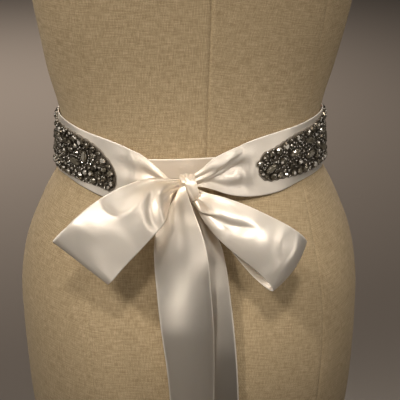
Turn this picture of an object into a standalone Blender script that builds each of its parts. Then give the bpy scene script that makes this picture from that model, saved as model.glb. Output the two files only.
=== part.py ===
"""Bridal sash tied in a bow at the back of a dress form.

An ivory satin ribbon with a beaded applique is wound round the waist of a linen dress form on a
round stand. Metres, +Z up. The stand rests on Z = 0 with its pole on the Z axis, +Y is the
wearer's front, and the bow is at the back, on the -Y side.
"""

import math
from collections import namedtuple

import bmesh
import bpy
from mathutils import Vector

# ---------------------------------------------------------------- driving sizes
WAIST_HEIGHT = 1.040  # the form's narrowest ring above the floor
RIBBON_WIDTH = 0.057  # double-faced satin ribbon, 2 1/4 inches
RIBBON_WALL = 0.001
SEAM_GAP = 0.0003  # between pieces that touch
FORM_GAP = 0.0008  # between the ribbon and the form it lies on
BOW_TURN = math.radians(-10)  # the knot sits this far round from the centre back

# ---------------------------------------------------------------- dress form
# A ring's widest line lies at widest, behind the axis; the depths are measured from the axis.
FormRow = namedtuple("FormRow", "height half_breadth widest back_depth front_depth")
FORM_ROWS = [
    FormRow(-0.340, 0.137, -0.012, 0.103, 0.087),
    FormRow(-0.334, 0.144, -0.012, 0.110, 0.092),
    FormRow(-0.290, 0.152, -0.014, 0.121, 0.096),
    FormRow(-0.240, 0.158, -0.009, 0.130, 0.099),
    FormRow(-0.200, 0.160, -0.006, 0.133, 0.101),
    FormRow(-0.160, 0.161, -0.004, 0.129, 0.103),
    FormRow(-0.120, 0.160, -0.003, 0.119, 0.103),
    FormRow(-0.080, 0.1515, -0.003, 0.106, 0.101),
    FormRow(-0.040, 0.134, -0.006, 0.094, 0.097),
    FormRow(-0.015, 0.1208, -0.010, 0.0875, 0.0945),
    FormRow(0.010, 0.1165, -0.014, 0.0855, 0.094),
    FormRow(0.040, 0.1163, -0.018, 0.087, 0.096),
    FormRow(0.080, 0.125, -0.024, 0.092, 0.101),
    FormRow(0.120, 0.131, -0.036, 0.099, 0.108),
    FormRow(0.160, 0.137, -0.040, 0.105, 0.115),
    FormRow(0.200, 0.145, -0.036, 0.109, 0.117),
    FormRow(0.250, 0.157, -0.028, 0.110, 0.110),
    FormRow(0.300, 0.168, -0.020, 0.107, 0.096),
    FormRow(0.335, 0.168, -0.015, 0.098, 0.080),
    FormRow(0.358, 0.150, -0.011, 0.084, 0.067),
    FormRow(0.376, 0.116, -0.008, 0.068, 0.056),
    FormRow(0.390, 0.078, -0.005, 0.056, 0.050),
    FormRow(0.405, 0.060, -0.002, 0.051, 0.049),
    FormRow(0.440, 0.054, 0.000, 0.052, 0.052),
    FormRow(0.475, 0.055, 0.000, 0.055, 0.055),
]
FORM_SQUARENESS = 2.2  # exponent of the rings' superellipse
FORM_SEGMENTS = 40
FORM_REACH = 0.25  # farther from the axis than any of the form
FORM_HALVINGS = 22  # of that reach, to find the form's surface
RING_SPACING = 0.051
WAIST_RING_SPACING = 0.014
WAIST_REACH = 0.050  # how far above and below the waist the rings are closer
BUST_HEIGHT = 0.168
BUST_ANGLE = math.radians(27)  # to each side of the centre front
BUST_RISE = 0.022
BUST_TALL = 0.052
BUST_WIDE = math.radians(21)

# ---------------------------------------------------------------- stand
# A turned piece's profile runs from its top, on the Z axis, down its side and back to the axis.
BASE_TOP = 0.020
BASE_PROFILE = [
    (0, BASE_TOP),
    (0.120, 0.018),
    (0.214, 0.012),
    (0.220, 0.007),
    (0.220, 0.002),
    (0.218, 0),
    (0, 0),
]
HUB_TOP = 0.060
HUB_PROFILE = [
    (0, HUB_TOP),
    (0.027, HUB_TOP),
    (0.030, HUB_TOP - 0.003),
    (0.036, BASE_TOP + SEAM_GAP),
    (0, BASE_TOP + SEAM_GAP),
]
POLE_RADIUS = 0.016
FLANGE_TOP = WAIST_HEIGHT + FORM_ROWS[0].height - SEAM_GAP
FLANGE_BOTTOM = FLANGE_TOP - 0.030
FLANGE_PROFILE = [
    (0, FLANGE_TOP),
    (0.062, FLANGE_TOP),
    (0.062, FLANGE_TOP - 0.006),
    (POLE_RADIUS + 0.006, FLANGE_TOP - 0.011),
    (POLE_RADIUS + 0.005, FLANGE_BOTTOM),
    (0, FLANGE_BOTTOM),
]
POLE_PROFILE = [
    (0, FLANGE_BOTTOM - SEAM_GAP),
    (POLE_RADIUS, FLANGE_BOTTOM - SEAM_GAP),
    (POLE_RADIUS, HUB_TOP + SEAM_GAP),
    (0, HUB_TOP + SEAM_GAP),
]
CAP_BOTTOM = WAIST_HEIGHT + FORM_ROWS[-1].height + SEAM_GAP
CAP_PROFILE = [
    (0, CAP_BOTTOM + 0.030),
    (0.014, CAP_BOTTOM + 0.029),
    (0.030, CAP_BOTTOM + 0.024),
    (0.045, CAP_BOTTOM + 0.014),
    (0.052, CAP_BOTTOM + 0.006),
    (0.0535, CAP_BOTTOM + 0.003),
    (0.0525, CAP_BOTTOM),
    (0, CAP_BOTTOM),
]

# ---------------------------------------------------------------- sash round the waist
# angle in degrees round from the knot, positive on the bow's right; lift is off the form
BandRow = namedtuple("BandRow", "angle top bottom lift pleat")
BAND_ROWS = [
    BandRow(-90, 0.0385, -0.0170, 0.0008, 0.0),
    BandRow(-80, 0.0400, -0.0135, 0.0008, 0.0),
    BandRow(-70, 0.0413, -0.0115, 0.0008, 0.0),
    BandRow(-60, 0.0398, -0.0110, 0.0008, 0.0),
    BandRow(-50, 0.0355, -0.0155, 0.0010, 0.0),
    BandRow(-38, 0.0305, -0.0205, 0.0022, 0.0),
    BandRow(-28, 0.0245, -0.0195, 0.0045, 0.0003),
    BandRow(-20, 0.0180, -0.0165, 0.0080, 0.0008),
    BandRow(-13, 0.0088, -0.0105, 0.0125, 0.0009),
    BandRow(-7, 0.0012, -0.0080, 0.0160, 0.0005),
    BandRow(-1, 0.0010, -0.0070, 0.0170, 0.0002),
    BandRow(1, 0.0045, -0.0050, 0.0170, 0.0002),
    BandRow(6, 0.0100, -0.0050, 0.0165, 0.0005),
    BandRow(12, 0.0170, -0.0090, 0.0130, 0.0009),
    BandRow(19, 0.0210, -0.0150, 0.0090, 0.0008),
    BandRow(28, 0.0245, -0.0200, 0.0050, 0.0008),
    BandRow(38, 0.0285, -0.0225, 0.0022, 0.0),
    BandRow(50, 0.0315, -0.0220, 0.0010, 0.0),
    BandRow(60, 0.0335, -0.0185, 0.0008, 0.0),
    BandRow(70, 0.0360, -0.0165, 0.0008, 0.0),
    BandRow(80, 0.0375, -0.0160, 0.0008, 0.0),
    BandRow(90, 0.0380, -0.0170, 0.0008, 0.0),
]
BAND_PLEATS = 5  # half waves across the ribbon where it gathers
SIDE_ANGLE = 90  # where the back stretches meet the front stretch
UNDER_PASS_FROM = -24  # degrees, the flat stretch behind the knot
UNDER_PASS_TO = 17
UNDER_PASS_TOP = 0.0145
UNDER_PASS_BOTTOM = -0.0030
SIDE_RADIUS = 0.12  # of the sash where its stretches meet at the sides
BAND_STEPS = (22, 10)  # along and across each stretch
BAND_FRONT_STEPS = (30, 4)
UNDER_PASS_STEPS = (7, 3)
SIDE_STEP = 0.02  # between places on a surface that give its slope there

# ---------------------------------------------------------------- beaded applique
AppliqueRow = namedtuple("AppliqueRow", "angle top bottom")
APPLIQUE_LEFT_ROWS = [
    AppliqueRow(-90, 0.0375, -0.0145),
    AppliqueRow(-80, 0.0370, -0.0105),
    AppliqueRow(-70, 0.0355, -0.0085),
    AppliqueRow(-62, 0.0345, -0.0080),
    AppliqueRow(-55, 0.0325, -0.0090),
    AppliqueRow(-50, 0.0300, -0.0100),
    AppliqueRow(-45, 0.0265, -0.0108),
    AppliqueRow(-41, 0.0215, -0.0118),
    AppliqueRow(-38, 0.0155, -0.0135),
    AppliqueRow(-36, 0.0110, -0.0140),
    AppliqueRow(-34.5, 0.0060, -0.0115),
    AppliqueRow(-33.5, 0.0000, -0.0070),
]
APPLIQUE_RIGHT_ROWS = [
    AppliqueRow(37.5, 0.0075, -0.0030),
    AppliqueRow(39, 0.0125, -0.0070),
    AppliqueRow(41, 0.0155, -0.0095),
    AppliqueRow(44, 0.0170, -0.0112),
    AppliqueRow(48, 0.0195, -0.0112),
    AppliqueRow(54, 0.0240, -0.0112),
    AppliqueRow(60, 0.0275, -0.0118),
    AppliqueRow(67, 0.0295, -0.0115),
    AppliqueRow(74, 0.0330, -0.0110),
    AppliqueRow(80, 0.0355, -0.0115),
    AppliqueRow(90, 0.0370, -0.0145),
]
APPLIQUE_WALL = 0.0020
APPLIQUE_ROWS = 8  # points across; every other one is a stone
APPLIQUE_SIDE_COLUMNS = 21
APPLIQUE_FRONT_COLUMNS = 65
STONE_RISE_BORDER = 0.0025
STONE_RISE_OVAL = 0.0032
STONE_RISE_FILL = 0.0020

# ---------------------------------------------------------------- bow
# A section runs from selvedge a to selvedge b. right, out and up are measured from the waist's
# centre, out towards whoever faces the bow. belly crowns the section and pleat gathers it.
Section = namedtuple("Section", "a_right a_out a_up b_right b_out b_up belly pleat")
LEFT_LOOP = [
    Section(-0.002, 0.110, 0.005, -0.002, 0.112, -0.003, 0.000, 0.0002),
    Section(-0.013, 0.115, 0.0065, -0.011, 0.119, -0.005, 0.002, 0.0005),
    Section(-0.030, 0.122, 0.010, -0.0145, 0.131, -0.0115, 0.005, 0.0008),
    Section(-0.050, 0.134, 0.008, -0.0187, 0.143, -0.0205, 0.006, 0.0),
    Section(-0.069, 0.146, 0.001, -0.0335, 0.153, -0.0345, 0.005, 0.0),
    Section(-0.087, 0.155, -0.011, -0.048, 0.161, -0.048, 0.004, 0.0),
    Section(-0.101, 0.159, -0.025, -0.059, 0.165, -0.060, 0.002, 0.0),
    Section(-0.105, 0.1555, -0.030, -0.0625, 0.161, -0.0645, 0.0, 0.0),
    Section(-0.101, 0.1515, -0.026, -0.058, 0.156, -0.061, 0.001, 0.0),
    Section(-0.080, 0.138, -0.011, -0.043, 0.142, -0.046, 0.005, 0.0),
    Section(-0.055, 0.124, 0.000, -0.028, 0.127, -0.030, 0.006, 0.0),
    Section(-0.030, 0.114, 0.005, -0.016, 0.115, -0.016, 0.003, 0.0008),
    Section(-0.003, 0.106, 0.003, -0.003, 0.106, -0.006, 0.000, 0.0002),
]
RIGHT_LOOP = [
    Section(0.004, 0.112, -0.002, 0.002, 0.112, -0.010, 0.000, 0.0002),
    Section(0.012, 0.1135, -0.005, 0.007, 0.117, -0.018, 0.002, 0.0005),
    Section(0.027, 0.120, -0.0065, 0.014, 0.124, -0.028, 0.005, 0.0006),
    Section(0.047, 0.129, -0.0105, 0.028, 0.136, -0.040, 0.007, 0.0),
    Section(0.064, 0.135, -0.0165, 0.042, 0.145, -0.049, 0.008, 0.0),
    Section(0.0803, 0.138, -0.0243, 0.055, 0.151, -0.0575, 0.008, 0.0),
    Section(0.0918, 0.136, -0.0335, 0.065, 0.154, -0.0675, 0.006, 0.0),
    Section(0.0965, 0.130, -0.0418, 0.069, 0.150, -0.0758, 0.004, 0.0),
    Section(0.0920, 0.1245, -0.0430, 0.0655, 0.142, -0.0790, 0.004, 0.0),
    Section(0.073, 0.119, -0.035, 0.0515, 0.131, -0.0705, 0.005, 0.0),
    Section(0.050, 0.115, -0.024, 0.035, 0.124, -0.052, 0.005, 0.0),
    Section(0.027, 0.1105, -0.013, 0.019, 0.1145, -0.033, 0.003, 0.0008),
    Section(0.003, 0.106, -0.004, 0.003, 0.106, -0.011, 0.000, 0.0002),
]
FRONT_TAIL = [
    Section(-0.004, 0.111, 0.004, -0.0015, 0.112, 0.005, 0.000, 0.0),
    Section(-0.0065, 0.1175, 0.0015, -0.002, 0.1195, 0.0025, 0.0005, 0.0),
    Section(-0.0095, 0.121, -0.0055, 0.0005, 0.1235, -0.0050, 0.0015, 0.0),
    Section(-0.018, 0.124, -0.0192, 0.0055, 0.1275, -0.0184, 0.0030, 0.0),
    Section(-0.0252, 0.1275, -0.0326, 0.0107, 0.1325, -0.0308, 0.0045, 0.0),
    Section(-0.0271, 0.1325, -0.0472, 0.0145, 0.1370, -0.0440, 0.0060, 0.0),
    Section(-0.0266, 0.1385, -0.0622, 0.0170, 0.1405, -0.0586, 0.0070, 0.0),
    Section(-0.0250, 0.1445, -0.0782, 0.0184, 0.1420, -0.0758, 0.0080, 0.0),
    Section(-0.0235, 0.1500, -0.0934, 0.0199, 0.1430, -0.0934, 0.0080, 0.0),
    Section(-0.0209, 0.1545, -0.1166, 0.0214, 0.1435, -0.1181, 0.008, 0.0),
    Section(-0.0170, 0.1535, -0.1524, 0.0220, 0.1420, -0.1536, 0.007, 0.0),
    Section(-0.0151, 0.1495, -0.1906, 0.0221, 0.1405, -0.1916, 0.006, 0.0),
    Section(-0.016, 0.1445, -0.2794, 0.024, 0.1390, -0.280, 0.005, 0.0),
    Section(-0.019, 0.1425, -0.400, 0.027, 0.1385, -0.400, 0.005, 0.0),
    Section(-0.021, 0.1425, -0.540, 0.029, 0.1385, -0.540, 0.004, 0.0),
    Section(-0.022, 0.1430, -0.690, 0.031, 0.1390, -0.670, 0.003, 0.0),
]
REAR_TAIL = [
    Section(-0.0025, 0.1045, -0.0075, 0.0035, 0.1045, -0.0085, 0.000, 0.0003),
    Section(-0.006, 0.1065, -0.021, 0.008, 0.1055, -0.022, 0.001, 0.0008),
    Section(-0.010, 0.110, -0.036, 0.0175, 0.1085, -0.036, 0.002, 0.0010),
    Section(-0.0135, 0.1150, -0.052, 0.0270, 0.1125, -0.052, 0.003, 0.0006),
    Section(-0.0155, 0.1190, -0.071, 0.0316, 0.1165, -0.0695, 0.003, 0.0),
    Section(-0.0161, 0.1235, -0.094, 0.0351, 0.1215, -0.093, 0.003, 0.0),
    Section(-0.0151, 0.1285, -0.122, 0.0387, 0.1265, -0.122, 0.002, 0.0),
    Section(-0.0126, 0.1330, -0.157, 0.0418, 0.1310, -0.157, 0.002, 0.0),
    Section(-0.0100, 0.1358, -0.197, 0.0438, 0.1340, -0.196, 0.002, 0.0),
    Section(-0.008, 0.1355, -0.280, 0.047, 0.1335, -0.280, 0.002, 0.0),
    Section(-0.005, 0.135, -0.400, 0.050, 0.133, -0.400, 0.002, 0.0),
    Section(-0.003, 0.135, -0.540, 0.052, 0.133, -0.540, 0.002, 0.0),
    Section(-0.003, 0.1355, -0.640, 0.053, 0.1335, -0.662, 0.002, 0.0),
]
BOW_PLEATS = 5  # half waves across a gathered section
BOW_STEPS_ACROSS = 10
BOW_STEPS_PER_ROW = 2
TRAVEL_STEP = 0.002  # share of a bow ribbon's length between places that give its direction

# A fold is a ridge, or a valley where its height is negative, between two places on a ribbon.
# Places along a bow ribbon count its sections, places along the sash are degrees from the knot.
Fold = namedtuple("Fold", "from_along from_across to_along to_across height reach")
LEFT_LOOP_FOLDS = [
    Fold(2.4, -0.68, 3.7, -0.72, -0.0030, 0.0085),
    Fold(1.9, -0.42, 2.8, 0.15, -0.0028, 0.0042),
    Fold(2.8, 0.15, 3.2, 0.90, -0.0026, 0.0040),
    Fold(1.4, -0.30, 2.8, 0.65, 0.0020, 0.0048),
    Fold(0.6, -0.75, 2.0, -0.60, -0.0018, 0.0028),
    Fold(5.2, -0.85, 4.2, 0.50, 0.0016, 0.0095),
]
RIGHT_LOOP_FOLDS = [
    Fold(0.8, 0.75, 2.0, 0.05, 0.0030, 0.0060),
    Fold(2.0, 0.05, 3.2, -0.40, 0.0022, 0.0060),
    Fold(1.3, 0.90, 2.2, 0.34, -0.0022, 0.0035),
    Fold(2.2, 0.34, 3.6, -0.25, -0.0040, 0.0045),
]
FRONT_TAIL_FOLDS = [
    Fold(1.6, -0.55, 3.2, 0.05, -0.0020, 0.0045),
    Fold(3.2, 0.05, 5.0, 0.10, -0.0016, 0.0045),
    Fold(2.0, 0.25, 5.0, 0.40, 0.0014, 0.0055),
]
REAR_TAIL_FOLDS = [
    Fold(2.0, 0.10, 6.0, -0.10, 0.0015, 0.0070),
]
BAND_FOLDS = [
    Fold(5, -0.05, 14, 0.28, 0.0040, 0.0050),
    Fold(14, 0.28, 24, 0.72, 0.0036, 0.0055),
    Fold(5, -0.75, 12, -0.22, -0.0034, 0.0040),
    Fold(12, -0.22, 28, 0.34, -0.0034, 0.0045),
    Fold(17, -0.60, 28, -0.15, 0.0010, 0.0065),
    Fold(-26, 1.00, -24.5, 0.25, 0.0018, 0.0042),
    Fold(-24.5, 0.25, -28, -0.70, 0.0010, 0.0045),
    Fold(-20, 0.90, -8, 0.60, 0.0014, 0.0036),
    Fold(-22, 0.50, -10, 0.10, -0.0018, 0.0055),
]
# a fold has its full height where the ribbon is at least this share of its full width
FOLD_FULLNESS = 0.83
# face is 1 or -1, whichever turns the ribbon's outer side to whoever faces the bow
RibbonShape = namedtuple("RibbonShape", "rows folds face")
BOW_RIBBONS = {
    "sash_loop_left": RibbonShape(LEFT_LOOP, LEFT_LOOP_FOLDS, -1),
    "sash_loop_right": RibbonShape(RIGHT_LOOP, RIGHT_LOOP_FOLDS, 1),
    "sash_tail_front": RibbonShape(FRONT_TAIL, FRONT_TAIL_FOLDS, -1),
    "sash_tail_rear": RibbonShape(REAR_TAIL, REAR_TAIL_FOLDS, -1),
}
ROW_SPACING = 0.018  # typical distance between a bow ribbon's sections
DEGREE_SPACING = 0.0018  # typical distance between degrees on the sash by the knot

KNOT_CENTRE = (0.0015, 0.1085, -0.0015)  # right, out, up
KNOT_RADII = (0.0075, 0.0115, 0.0120)
KNOT_FOLDS = 5
KNOT_FOLD_DEPTH = 0.0007
KNOT_TWIST = 1.6  # radians the folds turn from the knot's middle to its top
KNOT_SEGMENTS = 24
KNOT_RINGS = 12

SATIN = ("ivory_satin", (0.86, 0.79, 0.70), 0.32, 0.0)
LINEN = ("form_linen", (0.43, 0.35, 0.24), 0.90, 0.0)
STONES = ("smoky_stones", (0.32, 0.30, 0.28), 0.15, 0.6)
WOOD = ("cap_wood", (0.30, 0.19, 0.11), 0.45, 0.0)
IRON = ("stand_iron", (0.05, 0.05, 0.05), 0.45, 0.3)


# ---------------------------------------------------------------- places and curves
def bow_point(right, out, up):
    """World point of a place in the bow's own frame."""
    turn_cos, turn_sin = math.cos(BOW_TURN), math.sin(BOW_TURN)
    return Vector(
        (
            right * turn_cos + out * turn_sin,
            right * turn_sin - out * turn_cos,
            WAIST_HEIGHT + up,
        )
    )


def round_point(degrees, radius, up):
    """World point at an angle round the waist from the knot, positive towards the bow's right."""
    angle = math.radians(degrees)
    return bow_point(radius * math.sin(angle), radius * math.cos(angle), up)


def along_rows(rows, places, place):
    """Every column of the table at a place between its rows, on a smooth curve through them."""
    last = len(rows) - 2
    index = min(max(sum(p <= place for p in places) - 1, 0), last)
    step = places[index + 1] - places[index]
    share = (place - places[index]) / step
    values = []
    for column in range(len(rows[0])):
        slopes = []
        for row in (index, index + 1):
            before, after = max(row - 1, 0), min(row + 1, len(rows) - 1)
            rise = rows[after][column] - rows[before][column]
            slopes.append(rise / (places[after] - places[before]) * step)
        start, end = rows[index][column], rows[index + 1][column]
        values.append(
            start * (2 * share**3 - 3 * share**2 + 1)
            + end * (3 * share**2 - 2 * share**3)
            + slopes[0] * (share**3 - 2 * share**2 + share)
            + slopes[1] * (share**3 - share**2)
        )
    return type(rows[0])(*values)


# ---------------------------------------------------------------- dress form
def form_row(up):
    return along_rows(FORM_ROWS, [row.height for row in FORM_ROWS], up)


def form_radius(direction, up):
    """Distance from the axis to the form's surface, towards a level direction."""
    row = form_row(up)
    inside, outside = 0.0, FORM_REACH
    for _ in range(FORM_HALVINGS):
        radius = (inside + outside) / 2
        across, deep = radius * direction.x, radius * direction.y - row.widest
        depth = row.back_depth + row.widest if deep < 0 else row.front_depth - row.widest
        share = abs(across / row.half_breadth) ** FORM_SQUARENESS
        share += abs(deep / depth) ** FORM_SQUARENESS
        inside, outside = (radius, outside) if share < 1 else (inside, radius)
    from_front = math.atan2(direction.x, direction.y)
    for side in (-BUST_ANGLE, BUST_ANGLE):
        tall = (up - BUST_HEIGHT) / BUST_TALL
        wide = (from_front - side) / BUST_WIDE
        radius += BUST_RISE * math.exp(-tall * tall - wide * wide)
    return radius


def form_ring_heights():
    """Ring heights: one per row, and more between rows, closest where the sash lies."""
    heights = []
    for lower, upper in zip(FORM_ROWS, FORM_ROWS[1:]):
        middle = (lower.height + upper.height) / 2
        spacing = WAIST_RING_SPACING if abs(middle) < WAIST_REACH else RING_SPACING
        count = math.ceil((upper.height - lower.height) / spacing)
        for number in range(count):
            heights.append(lower.height + (upper.height - lower.height) * number / count)
    return heights + [FORM_ROWS[-1].height]


def dress_form(collection):
    mesh = bmesh.new()
    ring = bmesh.ops.create_circle(mesh, segments=FORM_SEGMENTS, radius=1)["verts"]
    edges = mesh.edges[:]
    mesh.faces.new(reversed(ring))
    for number, up in enumerate(form_ring_heights()):
        if number:
            made = bmesh.ops.extrude_edge_only(mesh, edges=edges)["geom"]
            ring = [item for item in made if isinstance(item, bmesh.types.BMVert)]
            edges = [item for item in made if isinstance(item, bmesh.types.BMEdge)]
        for corner in ring:
            direction = Vector((corner.co.x, corner.co.y, 0)).normalized()
            corner.co = direction * form_radius(direction, up)
            corner.co.z = WAIST_HEIGHT + up
    bmesh.ops.contextual_create(mesh, geom=edges)
    mesh.normal_update()
    bmesh.ops.recalc_face_normals(mesh, faces=mesh.faces[:])
    return finish_mesh("form_torso", mesh, LINEN, collection)


# ---------------------------------------------------------------- cloth walls
def band_row(degrees):
    """The sash's row at an angle from the knot; the front stretch runs from side to side."""
    degrees = (degrees + SIDE_ANGLE) % 360 - SIDE_ANGLE
    if degrees <= SIDE_ANGLE:
        return along_rows(BAND_ROWS, [row.angle for row in BAND_ROWS], degrees)
    share = (degrees - SIDE_ANGLE) / (360 - 2 * SIDE_ANGLE)
    sides = zip(BAND_ROWS[-1], BAND_ROWS[0])
    return BandRow(*(right + (left - right) * share for right, left in sides))


def fold_height(folds, spacing, along, across, width):
    """How far the folds lift a place on a ribbon that is drawn in to a width there."""
    height = 0.0
    here = Vector((along * spacing, across * RIBBON_WIDTH / 2))
    for fold in folds:
        start = Vector((fold.from_along * spacing, fold.from_across * RIBBON_WIDTH / 2))
        line = Vector((fold.to_along * spacing, fold.to_across * RIBBON_WIDTH / 2)) - start
        share = min(max((here - start).dot(line) / line.length_squared, 0), 1)
        away = (here - start - line * share).length / fold.reach
        height += fold.height * math.exp(-away * away)
    return height * min(width / (RIBBON_WIDTH * FOLD_FULLNESS), 1)


def waist_point(degrees, across, row, folds):
    """A place on a strip round the waist. across runs from -1 at the bottom to 1 at the top."""
    direction = round_point(degrees, 1, 0)
    direction = Vector((direction.x, direction.y, 0))
    top = form_radius(direction, row.top)
    bottom = form_radius(direction, row.bottom)
    share = (across + 1) / 2
    up = row.bottom + (row.top - row.bottom) * share
    straight = bottom + (top - bottom) * share
    radius = max(straight, form_radius(direction, up)) + row.lift
    radius += row.pleat * math.cos(math.pi * BAND_PLEATS * share)
    radius += fold_height(folds, DEGREE_SPACING, degrees, across, row.top - row.bottom)
    return round_point(degrees, radius, up)


def band_point(degrees, across):
    """A place on the sash's inner face."""
    return waist_point(degrees, across, band_row(degrees), BAND_FOLDS)


def turned_out(point, place, across, out):
    """The place moved outwards from a surface by a distance, along the surface's normal."""
    along = point(place + SIDE_STEP, across) - point(place - SIDE_STEP, across)
    over = point(place, min(across + SIDE_STEP, 1)) - point(place, max(across - SIDE_STEP, -1))
    return point(place, across) + along.cross(over).normalized() * out


def section_places(rows):
    """How far along the ribbon each section's middle is."""
    places, before = [0.0], None
    for row in rows:
        middle = Vector(row[0:3]) + Vector(row[3:6])
        if before is not None:
            places.append(places[-1] + (middle - before).length / 2)
        before = middle
    return places


def section_point(shape, places, place, across):
    """A place on a ribbon through sections. across runs from -1 at selvedge a to 1 at b."""
    rows = shape.rows
    step = places[-1] * TRAVEL_STEP
    row = along_rows(rows, places, place)
    ahead = along_rows(rows, places, min(place + step, places[-1]))
    behind = along_rows(rows, places, max(place - step, 0))
    edge_a, edge_b = bow_point(*row[0:3]), bow_point(*row[3:6])
    travel = bow_point(*ahead[0:3]) + bow_point(*ahead[3:6])
    travel -= bow_point(*behind[0:3]) + bow_point(*behind[3:6])
    normal = (edge_b - edge_a).cross(travel).normalized() * shape.face
    index = min(max(sum(p <= place for p in places) - 1, 0), len(rows) - 2)
    along = index + (place - places[index]) / (places[index + 1] - places[index])
    rise = row.belly * (1 - across * across)
    rise += row.pleat * math.cos(math.pi * BOW_PLEATS * (across + 1) / 2)
    rise += fold_height(shape.folds, ROW_SPACING, along, across, (edge_b - edge_a).length)
    return edge_a.lerp(edge_b, (across + 1) / 2) + normal * rise


def grid_mesh(point, start, end, along_steps, across_steps, shares=None):
    """An open surface: a grid whose points are placed by point(place, across)."""
    mesh = bmesh.new()
    bmesh.ops.create_grid(mesh, x_segments=along_steps, y_segments=across_steps, size=1)
    for corner in mesh.verts:
        column = round((corner.co.x + 1) / 2 * along_steps)
        share = shares[column] if shares else column / along_steps
        corner.co = point(start + (end - start) * share, corner.co.y)
    return mesh


def ribbon(name, mesh, collection, wall=RIBBON_WALL, offset=0.0):
    made = finish_mesh(name, mesh, SATIN, collection)
    solidify = made.modifiers.new("wall", "SOLIDIFY")
    solidify.thickness = wall
    solidify.offset = offset
    solidify.use_even_offset = True
    return made


def sash_band(name, start, end, steps, collection):
    """A stretch of the sash round the waist, its inner face on the form."""

    def middle(place, across):
        return turned_out(band_point, place, across, RIBBON_WALL / 2)

    mesh = grid_mesh(middle, start, end, *steps)
    return ribbon(name, mesh, collection)


def under_pass(collection):
    """The flat stretch behind the knot, on the form and under both gathered stretches."""

    def middle(place, across):
        lift = FORM_GAP + RIBBON_WALL / 2
        row = BandRow(place, UNDER_PASS_TOP, UNDER_PASS_BOTTOM, lift, 0.0)
        return waist_point(place, across, row, [])

    mesh = grid_mesh(middle, UNDER_PASS_FROM, UNDER_PASS_TO, *UNDER_PASS_STEPS)
    return ribbon("sash_under_pass", mesh, collection)


def bow_ribbon(name, shape, collection):
    places = section_places(shape.rows)
    shares = []
    for lower, upper in zip(places, places[1:]):
        for step in range(BOW_STEPS_PER_ROW):
            shares.append((lower + (upper - lower) * step / BOW_STEPS_PER_ROW) / places[-1])
    shares.append(1.0)

    def middle(place, across):
        return section_point(shape, places, place, across)

    mesh = grid_mesh(middle, 0, places[-1], len(shares) - 1, BOW_STEPS_ACROSS, shares)
    return ribbon(name, mesh, collection)


def knot_shape(name, grow, collection):
    """The knot's wrapped cloth, a rounded body with folds that run over it."""
    mesh = bmesh.new()
    bmesh.ops.create_uvsphere(
        mesh, u_segments=KNOT_SEGMENTS, v_segments=KNOT_RINGS, radius=1
    )
    for corner in mesh.verts:
        unit = corner.co.copy()
        level = math.hypot(unit.x, unit.y)
        swirl = math.atan2(unit.y, unit.x) * KNOT_FOLDS + unit.z * KNOT_TWIST
        fold = 1 + KNOT_FOLD_DEPTH / KNOT_RADII[0] * math.sin(swirl) * level
        place = [
            centre + part * (radius * fold + grow)
            for centre, part, radius in zip(KNOT_CENTRE, unit, KNOT_RADII)
        ]
        corner.co = bow_point(*place)
    mesh.normal_update()
    bmesh.ops.recalc_face_normals(mesh, faces=mesh.faces[:])
    return finish_mesh(name, mesh, SATIN, collection)


def cut_at_knot(pieces, cutter):
    for piece in pieces:
        cut = piece.modifiers.new("seam at the knot", "BOOLEAN")
        cut.operation = "DIFFERENCE"
        cut.solver = "EXACT"
        cut.object = cutter


# ---------------------------------------------------------------- beaded applique
def applique_row(degrees):
    """The applique's row at an angle, from its left end or its right end or between the sides."""
    if degrees < 0:
        return along_rows(APPLIQUE_LEFT_ROWS, [row.angle for row in APPLIQUE_LEFT_ROWS], degrees)
    if degrees <= SIDE_ANGLE:
        return along_rows(APPLIQUE_RIGHT_ROWS, [row.angle for row in APPLIQUE_RIGHT_ROWS], degrees)
    share = (degrees - SIDE_ANGLE) / (360 - 2 * SIDE_ANGLE)
    sides = zip(APPLIQUE_RIGHT_ROWS[-1], APPLIQUE_LEFT_ROWS[0])
    return AppliqueRow(*(right + (left - right) * share for right, left in sides))


def applique_point(degrees, across, out):
    """A place on or above the applique's inner face, which lies on the sash's outer face."""
    row, band = applique_row(degrees), band_row(degrees)
    up = (row.top + row.bottom) / 2 + across * (row.top - row.bottom) / 2
    on_band = (up - (band.top + band.bottom) / 2) / ((band.top - band.bottom) / 2)
    return turned_out(band_point, degrees, on_band, RIBBON_WALL + SEAM_GAP + out)


def stone_rise(column, row):
    """How far a point of the applique's outer face stands up. Stones sit on the odd points."""
    if row in (0, APPLIQUE_ROWS):
        return 0.0
    if row in (1, APPLIQUE_ROWS - 1):
        return STONE_RISE_BORDER * (column % 2)
    if row % 2 == 0 or column % 2 == 0:
        return 0.0
    return STONE_RISE_OVAL if (column // 2 + row // 2) % 2 else STONE_RISE_FILL


def applique_panel(name, start, end, columns, collection):
    """A stretch of the applique: a plain inner face and stones raised on its outer face."""
    mesh = bmesh.new()
    bmesh.ops.create_grid(mesh, x_segments=columns, y_segments=APPLIQUE_ROWS, size=1)
    made = bmesh.ops.extrude_face_region(mesh, geom=mesh.faces[:], use_keep_orig=True)["geom"]
    outer = [item for item in made if isinstance(item, bmesh.types.BMVert)]
    bmesh.ops.translate(mesh, verts=outer, vec=(0, 0, 1))
    for corner in mesh.verts:
        column = round((corner.co.x + 1) / 2 * columns)
        row = round((corner.co.y + 1) / 2 * APPLIQUE_ROWS)
        degrees = start + (end - start) * column / columns
        out = 0.0
        if corner.co.z > 0.5:
            inner_column = 0 < column < columns
            out = APPLIQUE_WALL + (stone_rise(column, row) if inner_column else 0.0)
        corner.co = applique_point(degrees, corner.co.y, out)
    mesh.normal_update()
    bmesh.ops.recalc_face_normals(mesh, faces=mesh.faces[:])
    finish_mesh(name, mesh, STONES, collection)


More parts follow.
